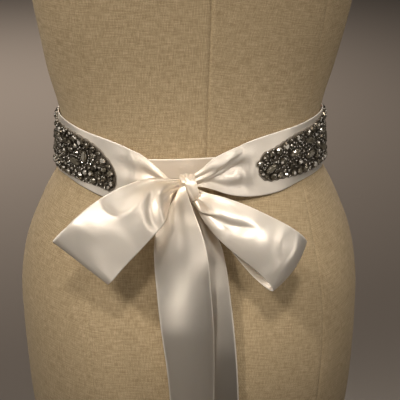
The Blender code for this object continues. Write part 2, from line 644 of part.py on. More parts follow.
# ---------------------------------------------------------------- stand
def turned(name, profile, finish, segments, collection):
    """A solid turned round the Z axis from a profile."""
    mesh = bmesh.new()
    corners = [mesh.verts.new((radius, 0, height)) for radius, height in profile]
    for first, second in zip(corners, corners[1:]):
        mesh.edges.new((first, second))
    made = finish_mesh(name, mesh, finish, collection)
    screw = made.modifiers.new("turned", "SCREW")
    screw.axis = "Z"
    screw.angle = 2 * math.pi
    screw.steps = screw.render_steps = segments
    screw.use_merge_vertices = True
    screw.merge_threshold = 0.0001
    return made


def stand(collection):
    turned("stand_base", BASE_PROFILE, IRON, 56, collection)
    turned("stand_hub", HUB_PROFILE, IRON, 32, collection)
    turned("stand_pole", POLE_PROFILE, IRON, 24, collection)
    turned("stand_flange", FLANGE_PROFILE, IRON, 32, collection)
    turned("form_neck_cap", CAP_PROFILE, WOOD, 40, collection)


# ---------------------------------------------------------------- objects
def material(name, colour, roughness, metallic):
    found = bpy.data.materials.get(name)
    if found:
        return found
    made = bpy.data.materials.new(name)
    made.use_nodes = True
    shader = made.node_tree.nodes["Principled BSDF"]
    shader.inputs["Base Color"].default_value = (*colour, 1)
    shader.inputs["Roughness"].default_value = roughness
    shader.inputs["Metallic"].default_value = metallic
    made.diffuse_color = (*colour, 1)
    return made


def finish_mesh(name, mesh, finish, collection):
    data = bpy.data.meshes.new(name)
    mesh.to_mesh(data)
    mesh.free()
    data.materials.append(material(*finish))
    data.shade_smooth()
    made = bpy.data.objects.new(name, data)
    collection.objects.link(made)
    return made


def clear_scene():
    for item in list(bpy.data.objects):
        bpy.data.objects.remove(item)


def new_collection(name):
    made = bpy.data.collections.new(name)
    bpy.context.scene.collection.children.link(made)
    return made


def main():
    clear_scene()
    parts = new_collection("bridal sash on dress form")
    helpers = new_collection("cutters")
    dress_form(parts)
    stand(parts)
    seam = math.degrees(SEAM_GAP / SIDE_RADIUS)
    left_side, right_side = -SIDE_ANGLE + seam / 2, SIDE_ANGLE - seam / 2
    front = SIDE_ANGLE + seam / 2, 360 - SIDE_ANGLE - seam / 2
    bands = [
        sash_band("sash_band_left", -1, left_side, BAND_STEPS, parts),
        sash_band("sash_band_right", 1, right_side, BAND_STEPS, parts),
    ]
    sash_band("sash_band_front", *front, BAND_FRONT_STEPS, parts)
    under_pass(parts)
    left_end, right_end = APPLIQUE_LEFT_ROWS[-1].angle, APPLIQUE_RIGHT_ROWS[0].angle
    applique_panel("applique_left", left_end, left_side, APPLIQUE_SIDE_COLUMNS, parts)
    applique_panel("applique_right", right_end, right_side, APPLIQUE_SIDE_COLUMNS, parts)
    applique_panel("applique_front", *front, APPLIQUE_FRONT_COLUMNS, parts)
    bows = [bow_ribbon(name, shape, parts) for name, shape in BOW_RIBBONS.items()]
    knot_shape("sash_knot", 0.0, parts)
    cutter = knot_shape("knot clearance", SEAM_GAP, helpers)
    cutter.hide_render = True
    cutter.display_type = "WIRE"
    cut_at_knot(bands + bows, cutter)


main()
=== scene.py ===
"""Bridal sash tied in a bow at the back of a dress form: cloth, stones, finishes and light.

Metres, +Z up. +Y is the wearer's front; the bow is at the back, on the -Y side.
"""

import functools
import itertools
import math
import random
from collections import namedtuple

import bmesh
import bpy
from mathutils import Matrix, Vector, noise


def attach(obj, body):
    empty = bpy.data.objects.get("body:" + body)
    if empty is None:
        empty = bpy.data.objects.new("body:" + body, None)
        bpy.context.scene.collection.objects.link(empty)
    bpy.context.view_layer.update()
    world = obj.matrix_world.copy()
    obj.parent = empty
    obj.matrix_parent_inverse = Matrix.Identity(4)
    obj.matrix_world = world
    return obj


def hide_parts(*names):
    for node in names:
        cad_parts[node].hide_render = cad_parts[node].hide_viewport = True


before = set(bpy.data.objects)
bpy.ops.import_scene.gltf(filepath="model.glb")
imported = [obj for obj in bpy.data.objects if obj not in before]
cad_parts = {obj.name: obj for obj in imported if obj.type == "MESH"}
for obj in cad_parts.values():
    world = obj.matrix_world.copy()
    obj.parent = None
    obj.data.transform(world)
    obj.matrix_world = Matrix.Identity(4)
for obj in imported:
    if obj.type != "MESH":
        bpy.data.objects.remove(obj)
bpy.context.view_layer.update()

# ---------------------------------------------------------------- sizes shared with the solids
WAIST_HEIGHT = 1.040
RIBBON_WIDTH = 0.057
WALL = 0.001  # the solids' ribbon wall; the cloth lies in its middle
CLOTH = 0.0005  # satin as it shows
SEAM_GAP = 0.0003
FORM_GAP = 0.0008
BOW_TURN = math.radians(-10)


def table(row_type, *rows):
    """Rows of plain values as rows with named columns."""
    return [row_type(*row) for row in rows]


FormRow = namedtuple("FormRow", "height half_breadth widest back_depth front_depth")
FORM_ROWS = table(
    FormRow,
    (-0.340, 0.137, -0.012, 0.103, 0.087),
    (-0.334, 0.144, -0.012, 0.110, 0.092),
    (-0.290, 0.152, -0.014, 0.121, 0.096),
    (-0.240, 0.158, -0.009, 0.130, 0.099),
    (-0.200, 0.160, -0.006, 0.133, 0.101),
    (-0.160, 0.161, -0.004, 0.129, 0.103),
    (-0.120, 0.160, -0.003, 0.119, 0.103),
    (-0.080, 0.1515, -0.003, 0.106, 0.101),
    (-0.040, 0.134, -0.006, 0.094, 0.097),
    (-0.015, 0.1208, -0.010, 0.0875, 0.0945),
    (0.010, 0.1165, -0.014, 0.0855, 0.094),
    (0.040, 0.1163, -0.018, 0.087, 0.096),
    (0.080, 0.125, -0.024, 0.092, 0.101),
    (0.120, 0.131, -0.036, 0.099, 0.108),
    (0.160, 0.137, -0.040, 0.105, 0.115),
    (0.200, 0.145, -0.036, 0.109, 0.117),
    (0.250, 0.157, -0.028, 0.110, 0.110),
    (0.300, 0.168, -0.020, 0.107, 0.096),
    (0.335, 0.168, -0.015, 0.098, 0.080),
    (0.358, 0.150, -0.011, 0.084, 0.067),
    (0.376, 0.116, -0.008, 0.068, 0.056),
    (0.390, 0.078, -0.005, 0.056, 0.050),
    (0.405, 0.060, -0.002, 0.051, 0.049),
    (0.440, 0.054, 0.000, 0.052, 0.052),
    (0.475, 0.055, 0.000, 0.055, 0.055),
)
FORM_SQUARENESS = 2.2
MOST_RADIUS = 0.25  # a form radius is looked for up to here
HALVINGS = 22  # of the span that it is looked for in
BUST_HEIGHT = 0.168
BUST_ANGLE = math.radians(27)
BUST_RISE = 0.022
BUST_TALL = 0.052
BUST_WIDE = math.radians(21)

BandRow = namedtuple("BandRow", "angle top bottom lift pleat")
BAND_ROWS = table(
    BandRow,
    (-90, 0.0385, -0.0170, 0.0008, 0.0),
    (-80, 0.0400, -0.0135, 0.0008, 0.0),
    (-70, 0.0413, -0.0115, 0.0008, 0.0),
    (-60, 0.0398, -0.0110, 0.0008, 0.0),
    (-50, 0.0355, -0.0155, 0.0010, 0.0),
    (-38, 0.0305, -0.0205, 0.0022, 0.0),
    (-28, 0.0245, -0.0195, 0.0045, 0.0003),
    (-20, 0.0180, -0.0165, 0.0080, 0.0008),
    (-13, 0.0088, -0.0105, 0.0125, 0.0009),
    (-7, 0.0012, -0.0080, 0.0160, 0.0005),
    (-1, 0.0010, -0.0070, 0.0170, 0.0002),
    (1, 0.0045, -0.0050, 0.0170, 0.0002),
    (6, 0.0100, -0.0050, 0.0165, 0.0005),
    (12, 0.0170, -0.0090, 0.0130, 0.0009),
    (19, 0.0210, -0.0150, 0.0090, 0.0008),
    (28, 0.0245, -0.0200, 0.0050, 0.0008),
    (38, 0.0285, -0.0225, 0.0022, 0.0),
    (50, 0.0315, -0.0220, 0.0010, 0.0),
    (60, 0.0335, -0.0185, 0.0008, 0.0),
    (70, 0.0360, -0.0165, 0.0008, 0.0),
    (80, 0.0375, -0.0160, 0.0008, 0.0),
    (90, 0.0380, -0.0170, 0.0008, 0.0),
)
BAND_PLEATS = 5
SIDE_ANGLE = 90

AppliqueRow = namedtuple("AppliqueRow", "angle top bottom")
APPLIQUE_LEFT_ROWS = table(
    AppliqueRow,
    (-90, 0.0375, -0.0145),
    (-80, 0.0370, -0.0105),
    (-70, 0.0355, -0.0085),
    (-62, 0.0345, -0.0080),
    (-55, 0.0325, -0.0090),
    (-50, 0.0300, -0.0100),
    (-45, 0.0265, -0.0108),
    (-41, 0.0215, -0.0118),
    (-38, 0.0155, -0.0135),
    (-36, 0.0110, -0.0140),
    (-34.5, 0.0060, -0.0115),
    (-33.5, 0.0000, -0.0070),
)
APPLIQUE_RIGHT_ROWS = table(
    AppliqueRow,
    (37.5, 0.0075, -0.0030),
    (39, 0.0125, -0.0070),
    (41, 0.0155, -0.0095),
    (44, 0.0170, -0.0112),
    (48, 0.0195, -0.0112),
    (54, 0.0240, -0.0112),
    (60, 0.0275, -0.0118),
    (67, 0.0295, -0.0115),
    (74, 0.0330, -0.0110),
    (80, 0.0355, -0.0115),
    (90, 0.0370, -0.0145),
)

Section = namedtuple("Section", "a_right a_out a_up b_right b_out b_up belly pleat")
LEFT_LOOP = table(
    Section,
    (-0.002, 0.110, 0.005, -0.002, 0.112, -0.003, 0.000, 0.0002),
    (-0.013, 0.115, 0.0065, -0.011, 0.119, -0.005, 0.002, 0.0005),
    (-0.030, 0.122, 0.010, -0.0145, 0.131, -0.0115, 0.005, 0.0008),
    (-0.050, 0.134, 0.008, -0.0187, 0.143, -0.0205, 0.006, 0.0),
    (-0.069, 0.146, 0.001, -0.0335, 0.153, -0.0345, 0.005, 0.0),
    (-0.087, 0.155, -0.011, -0.048, 0.161, -0.048, 0.004, 0.0),
    (-0.101, 0.159, -0.025, -0.059, 0.165, -0.060, 0.002, 0.0),
    (-0.105, 0.1555, -0.030, -0.0625, 0.161, -0.0645, 0.0, 0.0),
    (-0.101, 0.1515, -0.026, -0.058, 0.156, -0.061, 0.001, 0.0),
    (-0.080, 0.138, -0.011, -0.043, 0.142, -0.046, 0.005, 0.0),
    (-0.055, 0.124, 0.000, -0.028, 0.127, -0.030, 0.006, 0.0),
    (-0.030, 0.114, 0.005, -0.016, 0.115, -0.016, 0.003, 0.0008),
    (-0.003, 0.106, 0.003, -0.003, 0.106, -0.006, 0.000, 0.0002),
)
RIGHT_LOOP = table(
    Section,
    (0.004, 0.112, -0.002, 0.002, 0.112, -0.010, 0.000, 0.0002),
    (0.012, 0.1135, -0.005, 0.007, 0.117, -0.018, 0.002, 0.0005),
    (0.027, 0.120, -0.0065, 0.014, 0.124, -0.028, 0.005, 0.0006),
    (0.047, 0.129, -0.0105, 0.028, 0.136, -0.040, 0.007, 0.0),
    (0.064, 0.135, -0.0165, 0.042, 0.145, -0.049, 0.008, 0.0),
    (0.0803, 0.138, -0.0243, 0.055, 0.151, -0.0575, 0.008, 0.0),
    (0.0918, 0.136, -0.0335, 0.065, 0.154, -0.0675, 0.006, 0.0),
    (0.0965, 0.130, -0.0418, 0.069, 0.150, -0.0758, 0.004, 0.0),
    (0.0920, 0.1245, -0.0430, 0.0655, 0.142, -0.0790, 0.004, 0.0),
    (0.073, 0.119, -0.035, 0.0515, 0.131, -0.0705, 0.005, 0.0),
    (0.050, 0.115, -0.024, 0.035, 0.124, -0.052, 0.005, 0.0),
    (0.027, 0.1105, -0.013, 0.019, 0.1145, -0.033, 0.003, 0.0008),
    (0.003, 0.106, -0.004, 0.003, 0.106, -0.011, 0.000, 0.0002),
)
FRONT_TAIL = table(
    Section,
    (-0.004, 0.111, 0.004, -0.0015, 0.112, 0.005, 0.000, 0.0),
    (-0.0065, 0.1175, 0.0015, -0.002, 0.1195, 0.0025, 0.0005, 0.0),
    (-0.0095, 0.121, -0.0055, 0.0005, 0.1235, -0.0050, 0.0015, 0.0),
    (-0.018, 0.124, -0.0192, 0.0055, 0.1275, -0.0184, 0.0030, 0.0),
    (-0.0252, 0.1275, -0.0326, 0.0107, 0.1325, -0.0308, 0.0045, 0.0),
    (-0.0271, 0.1325, -0.0472, 0.0145, 0.1370, -0.0440, 0.0060, 0.0),
    (-0.0266, 0.1385, -0.0622, 0.0170, 0.1405, -0.0586, 0.0070, 0.0),
    (-0.0250, 0.1445, -0.0782, 0.0184, 0.1420, -0.0758, 0.0080, 0.0),
    (-0.0235, 0.1500, -0.0934, 0.0199, 0.1430, -0.0934, 0.0080, 0.0),
    (-0.0209, 0.1545, -0.1166, 0.0214, 0.1435, -0.1181, 0.008, 0.0),
    (-0.0170, 0.1535, -0.1524, 0.0220, 0.1420, -0.1536, 0.007, 0.0),
    (-0.0151, 0.1495, -0.1906, 0.0221, 0.1405, -0.1916, 0.006, 0.0),
    (-0.016, 0.1445, -0.2794, 0.024, 0.1390, -0.280, 0.005, 0.0),
    (-0.019, 0.1425, -0.400, 0.027, 0.1385, -0.400, 0.005, 0.0),
    (-0.021, 0.1425, -0.540, 0.029, 0.1385, -0.540, 0.004, 0.0),
    (-0.022, 0.1430, -0.690, 0.031, 0.1390, -0.670, 0.003, 0.0),
)
REAR_TAIL = table(
    Section,
    (-0.0025, 0.1045, -0.0075, 0.0035, 0.1045, -0.0085, 0.000, 0.0003),
    (-0.006, 0.1065, -0.021, 0.008, 0.1055, -0.022, 0.001, 0.0008),
    (-0.010, 0.110, -0.036, 0.0175, 0.1085, -0.036, 0.002, 0.0010),
    (-0.0135, 0.1150, -0.052, 0.0270, 0.1125, -0.052, 0.003, 0.0006),
    (-0.0155, 0.1190, -0.071, 0.0316, 0.1165, -0.0695, 0.003, 0.0),
    (-0.0161, 0.1235, -0.094, 0.0351, 0.1215, -0.093, 0.003, 0.0),
    (-0.0151, 0.1285, -0.122, 0.0387, 0.1265, -0.122, 0.002, 0.0),
    (-0.0126, 0.1330, -0.157, 0.0418, 0.1310, -0.157, 0.002, 0.0),
    (-0.0100, 0.1358, -0.197, 0.0438, 0.1340, -0.196, 0.002, 0.0),
    (-0.008, 0.1355, -0.280, 0.047, 0.1335, -0.280, 0.002, 0.0),
    (-0.005, 0.135, -0.400, 0.050, 0.133, -0.400, 0.002, 0.0),
    (-0.003, 0.135, -0.540, 0.052, 0.133, -0.540, 0.002, 0.0),
    (-0.003, 0.1355, -0.640, 0.053, 0.1335, -0.662, 0.002, 0.0),
)
BOW_PLEATS = 5
ROW_SPACING = 0.018
DEGREE_SPACING = 0.0018

# ---------------------------------------------------------------- creases
# A crease is a ridge, or a trough where height is negative, along a path over the ribbon. Each
# place on the path is (along, across, share of the height). Along counts the ribbon's sections
# on the bow and degrees from the knot on the sash; across runs from -1 to 1. left and right are
# the crease's reach to either side, and lean carries the cloth across as it rises, so that a
# ridge overhangs.
Crease = namedtuple("Crease", "height left right path lean", defaults=[0])
PathPlace = namedtuple("PathPlace", "along across share")
LEFT_LOOP_CREASES = table(
    Crease,
    (-0.0024, 0.0080, 0.0100, [
        (1.9, -0.8, 0), (2.6, -0.65, 0.8), (3.2, -0.56, 1), (3.7, -0.75, 0.7), (4.0, -1, 0.3),
    ]),
    (0.0013, 0.0030, 0.0044, [
        (3.95, -1, 0.4), (4.12, -0.6, 0.9), (4.02, -0.27, 1), (3.6, -0.1, 1), (3.2, -0.13, 0.9),
        (2.7, -0.25, 0.5), (2.2, -0.42, 0),
    ]),
    (-0.0021, 0.0056, 0.0050, [
        (1.7, -0.5, 0), (2.2, -0.3, 0.8), (2.62, 0.0, 1), (3.0, 0.3, 1), (3.2, 0.65, 0.8),
        (3.2, 1.0, 0.5),
    ]),
    (0.0007, 0.0034, 0.0040, [(3.1, 0.0, 0), (3.4, 0.35, 1), (3.5, 0.70, 0.8), (3.4, 1, 0.3)]),
    (0.0018, 0.0060, 0.0052, [
        (1.0, -0.4, 0), (1.6, -0.25, 0.9), (2.12, -0.02, 1), (2.62, 0.42, 0.8), (3.0, 1.0, 0.3),
    ]),
    (-0.0014, 0.0030, 0.0032, [(0.4, -0.78, 0.4), (1.2, -0.72, 1), (1.7, -0.66, 0.9), (2.2, -0.52, 0)]),
    (0.0010, 0.0030, 0.0034, [(0.4, -0.50, 0.3), (1.4, -0.42, 1), (1.9, -0.44, 0.7), (2.2, -0.34, 0)]),
    (-0.0008, 0.0034, 0.0034, [(0.3, 0.15, 0.6), (1.2, 0.30, 1), (2.0, 0.75, 0)]),
    (0.0026, 0.0120, 0.0100, [
        (5.5, -1.0, 0.5), (5.0, -0.8, 1), (4.66, -0.35, 1), (4.3, 0.0, 1), (4.12, 0.5, 0.8),
        (4.12, 1.0, 0.5),
    ]),
    (-0.0010, 0.0100, 0.0100, [(6.1, -0.9, 0.4), (5.9, 0.0, 1), (5.4, 0.9, 0.6)]),
)
RIGHT_LOOP_CREASES = table(
    Crease,
    (0.0040, 0.0014, 0.0080, [
        (0.7, 1.0, 0.5), (1.4, 0.60, 0.9), (1.9, 0.28, 1), (2.2, 0.10, 0.7), (2.5, -0.06, 0),
    ], 0.0024),
    (0.0024, 0.0050, 0.0090, [
        (1.9, 0.12, 0), (2.4, -0.16, 0.9), (3.0, -0.36, 1), (3.5, -0.48, 0.8), (4.2, -0.55, 0),
    ]),
    (-0.0034, 0.0060, 0.0034, [
        (1.2, 0.95, 0.2), (1.7, 0.66, 0.7), (2.2, 0.36, 1), (2.88, 0.12, 1), (3.38, -0.08, 0.8),
        (4.0, -0.34, 0),
    ]),
    (0.0006, 0.0060, 0.0060, [(1.2, 1.0, 0.5), (1.8, 0.80, 1), (2.3, 0.70, 0.7), (2.9, 0.45, 0)]),
    (-0.0008, 0.0060, 0.0060, [(2.6, 0.62, 0), (2.85, 0.52, 1), (3.1, 0.48, 0)]),
    (0.0010, 0.0140, 0.0140, [(3.4, 0.2, 0), (4.1, 0.05, 1), (5.0, -0.2, 0.6), (5.4, -0.3, 0)]),
    (0.0010, 0.0050, 0.0060, [
        (5.6, -1, 0.3), (5.95, -0.45, 1), (5.85, 0.1, 1), (5.55, 0.8, 0.7), (5.45, 1, 0.4),
    ]),
)
FRONT_TAIL_CREASES = table(
    Crease,
    (-0.0010, 0.0060, 0.0050, [
        (1.6, -0.55, 0), (2.3, -0.28, 0.8), (3.2, 0.05, 1), (4.2, 0.12, 0.7), (5.2, 0.05, 0),
    ]),
    (0.0008, 0.0070, 0.0060, [
        (2.0, 0.25, 0), (3.2, 0.42, 0.9), (4.6, 0.38, 1), (6.0, 0.30, 0.7), (7.6, 0.15, 0),
    ]),
    (0.0006, 0.0070, 0.0070, [(3.0, -0.6, 0), (4.0, -0.45, 1), (5.4, -0.40, 0.6), (7.0, -0.3, 0)]),
)
REAR_TAIL_CREASES = table(
    Crease,
    (0.0012, 0.0080, 0.0080, [(1.5, 0.1, 0), (3.0, 0.10, 1), (6.0, -0.10, 0)]),
    (-0.0010, 0.0030, 0.0030, [(0.5, -0.2, 0.5), (1.4, 0.0, 1), (2.6, 0.25, 0)]),
)
BAND_CREASES = table(
    Crease,
    (0.0040, 0.0070, 0.0026, [
        (4, -0.1, 0.8), (11.5, 0.12, 1), (16.5, 0.5, 1), (21, 0.68, 0.7), (29, 0.80, 0),
    ]),
    (-0.0034, 0.0022, 0.0060, [
        (4, -0.8, 0.8), (11, -0.28, 1), (17.5, -0.05, 1), (23, 0.18, 0.8), (30, 0.40, 0),
    ]),
    (0.0009, 0.0070, 0.0060, [(15, -0.8, 0), (20, -0.45, 0.8), (25, -0.2, 1), (30, -0.1, 0)]),
    (-0.0007, 0.0050, 0.0060, [(27, 0.3, 0), (29.5, -0.15, 1), (31, -0.9, 0.6)]),
    (0.0008, 0.0060, 0.0050, [(33, 0.7, 0), (33, 0.2, 1), (32, -0.6, 0.3)]),
    (0.0011, 0.0052, 0.0040, [
        (-27, 1.0, 0.6), (-25.5, 0.62, 1), (-24.5, 0.25, 1), (-25.5, -0.3, 0.6), (-29, -0.9, 0),
    ]),
    (-0.0010, 0.0064, 0.0064, [(-24, 0.7, 0), (-20, 0.40, 1), (-13, 0.15, 0.8), (-6, 0.0, 0.6)]),
    (0.0008, 0.0040, 0.0044, [(-23, 1, 0), (-18, 0.86, 1), (-12, 0.72, 1), (-5, 0.5, 0.6)]),
    (0.0006, 0.0044, 0.0044, [(-20, -0.2, 0), (-12, -0.3, 1), (-5, -0.35, 0.6)]),
    (-0.0009, 0.0080, 0.0080, [(-33, 0.6, 0), (-30, 0.3, 1), (-29, -0.2, 0)]),
)
FOLLOWED = 5  # straight steps between two places of a path
FADED = 2.6  # times its reach away, nothing is left of a crease
FULL_DEPTH = 1.2  # times the fullness, the share of a crease's depth, up to all of it
# gathers are how deep the small folds by the knot are, at the ribbon's start and at its end
RibbonShape = namedtuple("RibbonShape", "rows creases face start_gathers end_gathers")
LOOP_LEFT = RibbonShape(LEFT_LOOP, LEFT_LOOP_CREASES, -1, 0.0002, 0.0022)
LOOP_RIGHT = RibbonShape(RIGHT_LOOP, RIGHT_LOOP_CREASES, 1, 0.0002, 0.0026)
TAIL_FRONT = RibbonShape(FRONT_TAIL, FRONT_TAIL_CREASES, -1, 0.0, 0.0)
TAIL_REAR = RibbonShape(REAR_TAIL, REAR_TAIL_CREASES, -1, 0.0006, 0.0)
GATHERS = 5.5  # waves across the ribbon
GATHERS_END = 0.75  # of the full width, where they have died away
RIPPLE = 0.00018  # slack waves in the satin


# ---------------------------------------------------------------- places and curves
def bow_point(right, out, up):
    """World point of a place in the bow's own frame."""
    turn_cos, turn_sin = math.cos(BOW_TURN), math.sin(BOW_TURN)
    return Vector(
        (
            right * turn_cos + out * turn_sin,
            right * turn_sin - out * turn_cos,
            WAIST_HEIGHT + up,
        )
    )


def round_point(degrees, radius, up):
    angle = math.radians(degrees)
    return bow_point(radius * math.sin(angle), radius * math.cos(angle), up)


def level(place):
    return Vector((place.x, place.y, 0))


def along_rows(rows, places, place):
    """Every column of the table at a place between its rows, on a smooth curve through them."""
    last = len(rows) - 2
    index = min(max(sum(p <= place for p in places) - 1, 0), last)
    step = places[index + 1] - places[index]
    share = (place - places[index]) / step
    values = []
    for column in range(len(rows[0])):
        slopes = []
        for row in (index, index + 1):
            before, after = max(row - 1, 0), min(row + 1, len(rows) - 1)
            rise = rows[after][column] - rows[before][column]
            slopes.append(rise / (places[after] - places[before]) * step)
        start, end = rows[index][column], rows[index + 1][column]
        values.append(
            start * (2 * share**3 - 3 * share**2 + 1)
            + end * (3 * share**2 - 2 * share**3)
            + slopes[0] * (share**3 - 2 * share**2 + share)
            + slopes[1] * (share**3 - share**2)
        )
    return type(rows[0])(*values)


def row_at(rows, place):
    """The table's row at a place that its first column gives."""
    return along_rows(rows, [row[0] for row in rows], place)


def form_radius(direction, up, row=None):
    """Distance from the axis to the form's surface, towards a level direction."""
    row = row or row_at(FORM_ROWS, up)
    inside, outside = 0.0, MOST_RADIUS
    for _ in range(HALVINGS):
        radius = (inside + outside) / 2
        across, deep = radius * direction.x, radius * direction.y - row.widest
        depth = row.back_depth + row.widest if deep < 0 else row.front_depth - row.widest
        share = abs(across / row.half_breadth) ** FORM_SQUARENESS
        share += abs(deep / depth) ** FORM_SQUARENESS
        inside, outside = (radius, outside) if share < 1 else (inside, radius)
    from_front = math.atan2(direction.x, direction.y)
    for side in (-BUST_ANGLE, BUST_ANGLE):
        tall = (up - BUST_HEIGHT) / BUST_TALL
        wide = (from_front - side) / BUST_WIDE
        radius += BUST_RISE * math.exp(-tall * tall - wide * wide)
    return radius


def laid_out(creases, spacing):
    """The creases with their paths as fine steps in metres, each with the box it reaches."""
    ready = []
    for crease in creases:
        corners = [
            PathPlace(along * spacing, across * RIBBON_WIDTH / 2, share)
            for along, across, share in crease.path
        ]
        numbers = list(range(len(corners)))
        count = FOLLOWED * (len(corners) - 1)
        fine = [along_rows(corners, numbers, step / FOLLOWED) for step in range(count + 1)]
        reach = FADED * max(crease.left, crease.right)
        box = (
            min(place.along for place in fine) - reach,
            max(place.along for place in fine) + reach,
            min(place.across for place in fine) - reach,
            max(place.across for place in fine) + reach,
        )
        ready.append((crease, fine, box))
    return ready


def crease_move(ready, x, y, fullness):
    """How far laid out creases lift a place on a ribbon, and how far they carry it across.

    Fullness is the ribbon's width there as a share of its flat width: creases are shallower
    where it is drawn in."""
    height = lean = 0.0
    for crease, fine, box in ready:
        if not (box[0] < x < box[1] and box[2] < y < box[3]):
            continue
        nearest, side, strength = 1.0, 1, 0.0
        for start, end in zip(fine, fine[1:]):
            run_x, run_y = end.along - start.along, end.across - start.across
            share = (x - start.along) * run_x + (y - start.across) * run_y
            share = min(max(share / (run_x**2 + run_y**2), 0), 1)
            off_x = x - start.along - share * run_x
            off_y = y - start.across - share * run_y
            away = math.hypot(off_x, off_y)
            if away < nearest:
                nearest, side = away, run_x * off_y - run_y * off_x
                strength = start.share + (end.share - start.share) * share
        reach = crease.left if side > 0 else crease.right
        strength *= math.exp(-((nearest / reach) ** 2)) * min(FULL_DEPTH * fullness, 1)
        height += crease.height * strength
        lean += crease.lean * strength
    return height, lean


def round_front(right_row, left_row, degrees):
    """The row at an angle past the sides, going evenly from one side's row to the other's."""
    share = (degrees - SIDE_ANGLE) / (360 - 2 * SIDE_ANGLE)
    sides = zip(right_row, left_row)
    return type(right_row)(*(right + (left - right) * share for right, left in sides))


@functools.cache
def band_row(degrees):
    """The sash's row at an angle from the knot; the front stretch runs from side to side."""
    degrees = (degrees + SIDE_ANGLE) % 360 - SIDE_ANGLE
    if degrees <= SIDE_ANGLE:
        return row_at(BAND_ROWS, degrees)
    return round_front(BAND_ROWS[-1], BAND_ROWS[0], degrees)


# ---------------------------------------------------------------- objects
SHEEN_SPACE = 0.3  # half the box that the satin's sheen is drawn out round


def new_object(name, data):
    made = bpy.data.objects.new(name, data)
    bpy.context.scene.collection.objects.link(made)
    return made


def mesh_data(name, mesh):
    """Turns a mesh under construction into a finished one."""
    data = bpy.data.meshes.new(name)
    mesh.to_mesh(data)
    mesh.free()
    return data


def finish_mesh(name, mesh, material, *replaced, slot, smooth=True):
    """Turns a mesh under construction into a piece that moves with the form."""
    data = mesh_data(name, mesh)
    data.materials.append(material)
    if smooth:
        data.shade_smooth()
    data.use_auto_texspace = False
    data.texspace_location = (0, 0, WAIST_HEIGHT)
    data.texspace_size = (SHEEN_SPACE, SHEEN_SPACE, SHEEN_SPACE)
    made = new_object(name, data)
    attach(made, "root")
    if replaced:
        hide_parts(*replaced)
    return made


def cloth_grid(columns, rows, place):
    """A sheet from place(column share, row share), which gives a point and a weave place."""
    mesh = bmesh.new()
    bmesh.ops.create_grid(mesh, x_segments=columns, y_segments=rows, size=1)
    weave = mesh.loops.layers.uv.new("weave")
    lies = {}
    for corner in mesh.verts:
        along, across = (corner.co.x + 1) / 2, (corner.co.y + 1) / 2
        corner.co, lies[corner] = place(along, across)
    for face in mesh.faces:
        for corner in face.loops:
            corner[weave].uv = lies[corner.vert]
    return mesh


def thicken(made, thickness):
    """Gives a sheet its thickness, half to each side."""
    wall = made.modifiers.new("wall", "SOLIDIFY")
    wall.thickness = thickness
    wall.offset = 0.0
    return made


def turn_outwards(mesh):
    """Turns an open sheet round the form so that its faces look away from the axis."""
    mesh.normal_update()
    total = sum(face.normal.dot(level(face.calc_center_median())) for face in mesh.faces)
    if total < 0:
        bmesh.ops.reverse_faces(mesh, faces=mesh.faces[:])


def slack(point, size=0.020):
    """A soft wave in cloth that hangs or lies loosely."""
    return noise.noise(point / size, noise_basis="PERLIN_ORIGINAL") * RIPPLE


# ---------------------------------------------------------------- materials
class NodeBench:
    """The nodes of a material or a group, with short ways to add and join them."""

    def __init__(self, tree):
        self.nodes, self.links = tree.nodes, tree.links

    def feed(self, socket, value):
        """Joins an input to another node's output, or sets it to a plain value."""
        if isinstance(value, bpy.types.NodeSocket):
            self.links.new(value, socket)
        else:
            socket.default_value = (*value, 1) if socket.type == "RGBA" else value

    def fill(self, node, **values):
        for name, value in values.items():
            self.feed(node.inputs[name.replace("_", " ")], value)
        return node

    def add(self, kind, **values):
        return self.fill(self.nodes.new("ShaderNode" + kind), **values)

    def noise(self, place, **values):
        return self.add("TexNoise", Vector=place, **values).outputs["Fac"]

    def bump(self, height, strength, distance):
        return self.add("Bump", Height=height, Strength=strength, Distance=distance).outputs[0]

    def weave_place(self):
        node = self.add("UVMap")
        node.uv_map = "weave"
        return node.outputs[0]

    def object_place(self):
        return self.add("TexCoord").outputs["Object"]

    def attribute(self, name):
        node = self.add("Attribute")
        node.attribute_name = name
        return node.outputs["Fac"]

    def use(self, group, **values):
        node = self.add("Group")
        node.node_tree = group
        return self.fill(node, **values).outputs

    def math(self, operation, *values, clamp=False):
        node = self.add("Math")
        node.operation = operation
        node.use_clamp = clamp
        for socket, value in zip(node.inputs, values):
            self.feed(socket, value)
        return node.outputs[0]

    def vector_math(self, operation, first, second):
        node = self.add("VectorMath")
        node.operation = operation
        self.feed(node.inputs[0], first)
        self.feed(node.inputs[1], second)
        return node.outputs

    def mix(self, share, first, second):
        """A blend of two colours."""
        node = self.add("Mix")
        node.data_type = "RGBA"
        for number, value in ((0, share), (6, first), (7, second)):
            self.feed(node.inputs[number], value)
        return node.outputs[2]

    def ramp(self, value, *stops):
        """A colour ramp through stops, each a position and a colour."""
        node = self.add("ValToRGB", Fac=value)
        steps = node.color_ramp.elements
        steps[0].position, steps[1].position = stops[0][0], stops[-1][0]
        for position, _ in stops[1:-1]:
            steps.new(position)
        for step, (_, colour) in zip(steps, stops):
            step.color = (*colour, 1)
        return node.outputs[0]


def new_material(name):
    made = bpy.data.materials.new(name)
    made.use_nodes = True
    return made, NodeBench(made.node_tree), made.node_tree.nodes["Principled BSDF"]


THREAD_WAVER = 0.0012  # how far the most uneven threads wander
THREAD_STREAKS = ((90, 1000, 1), (1000, 140, 1))  # slubs along each set of threads


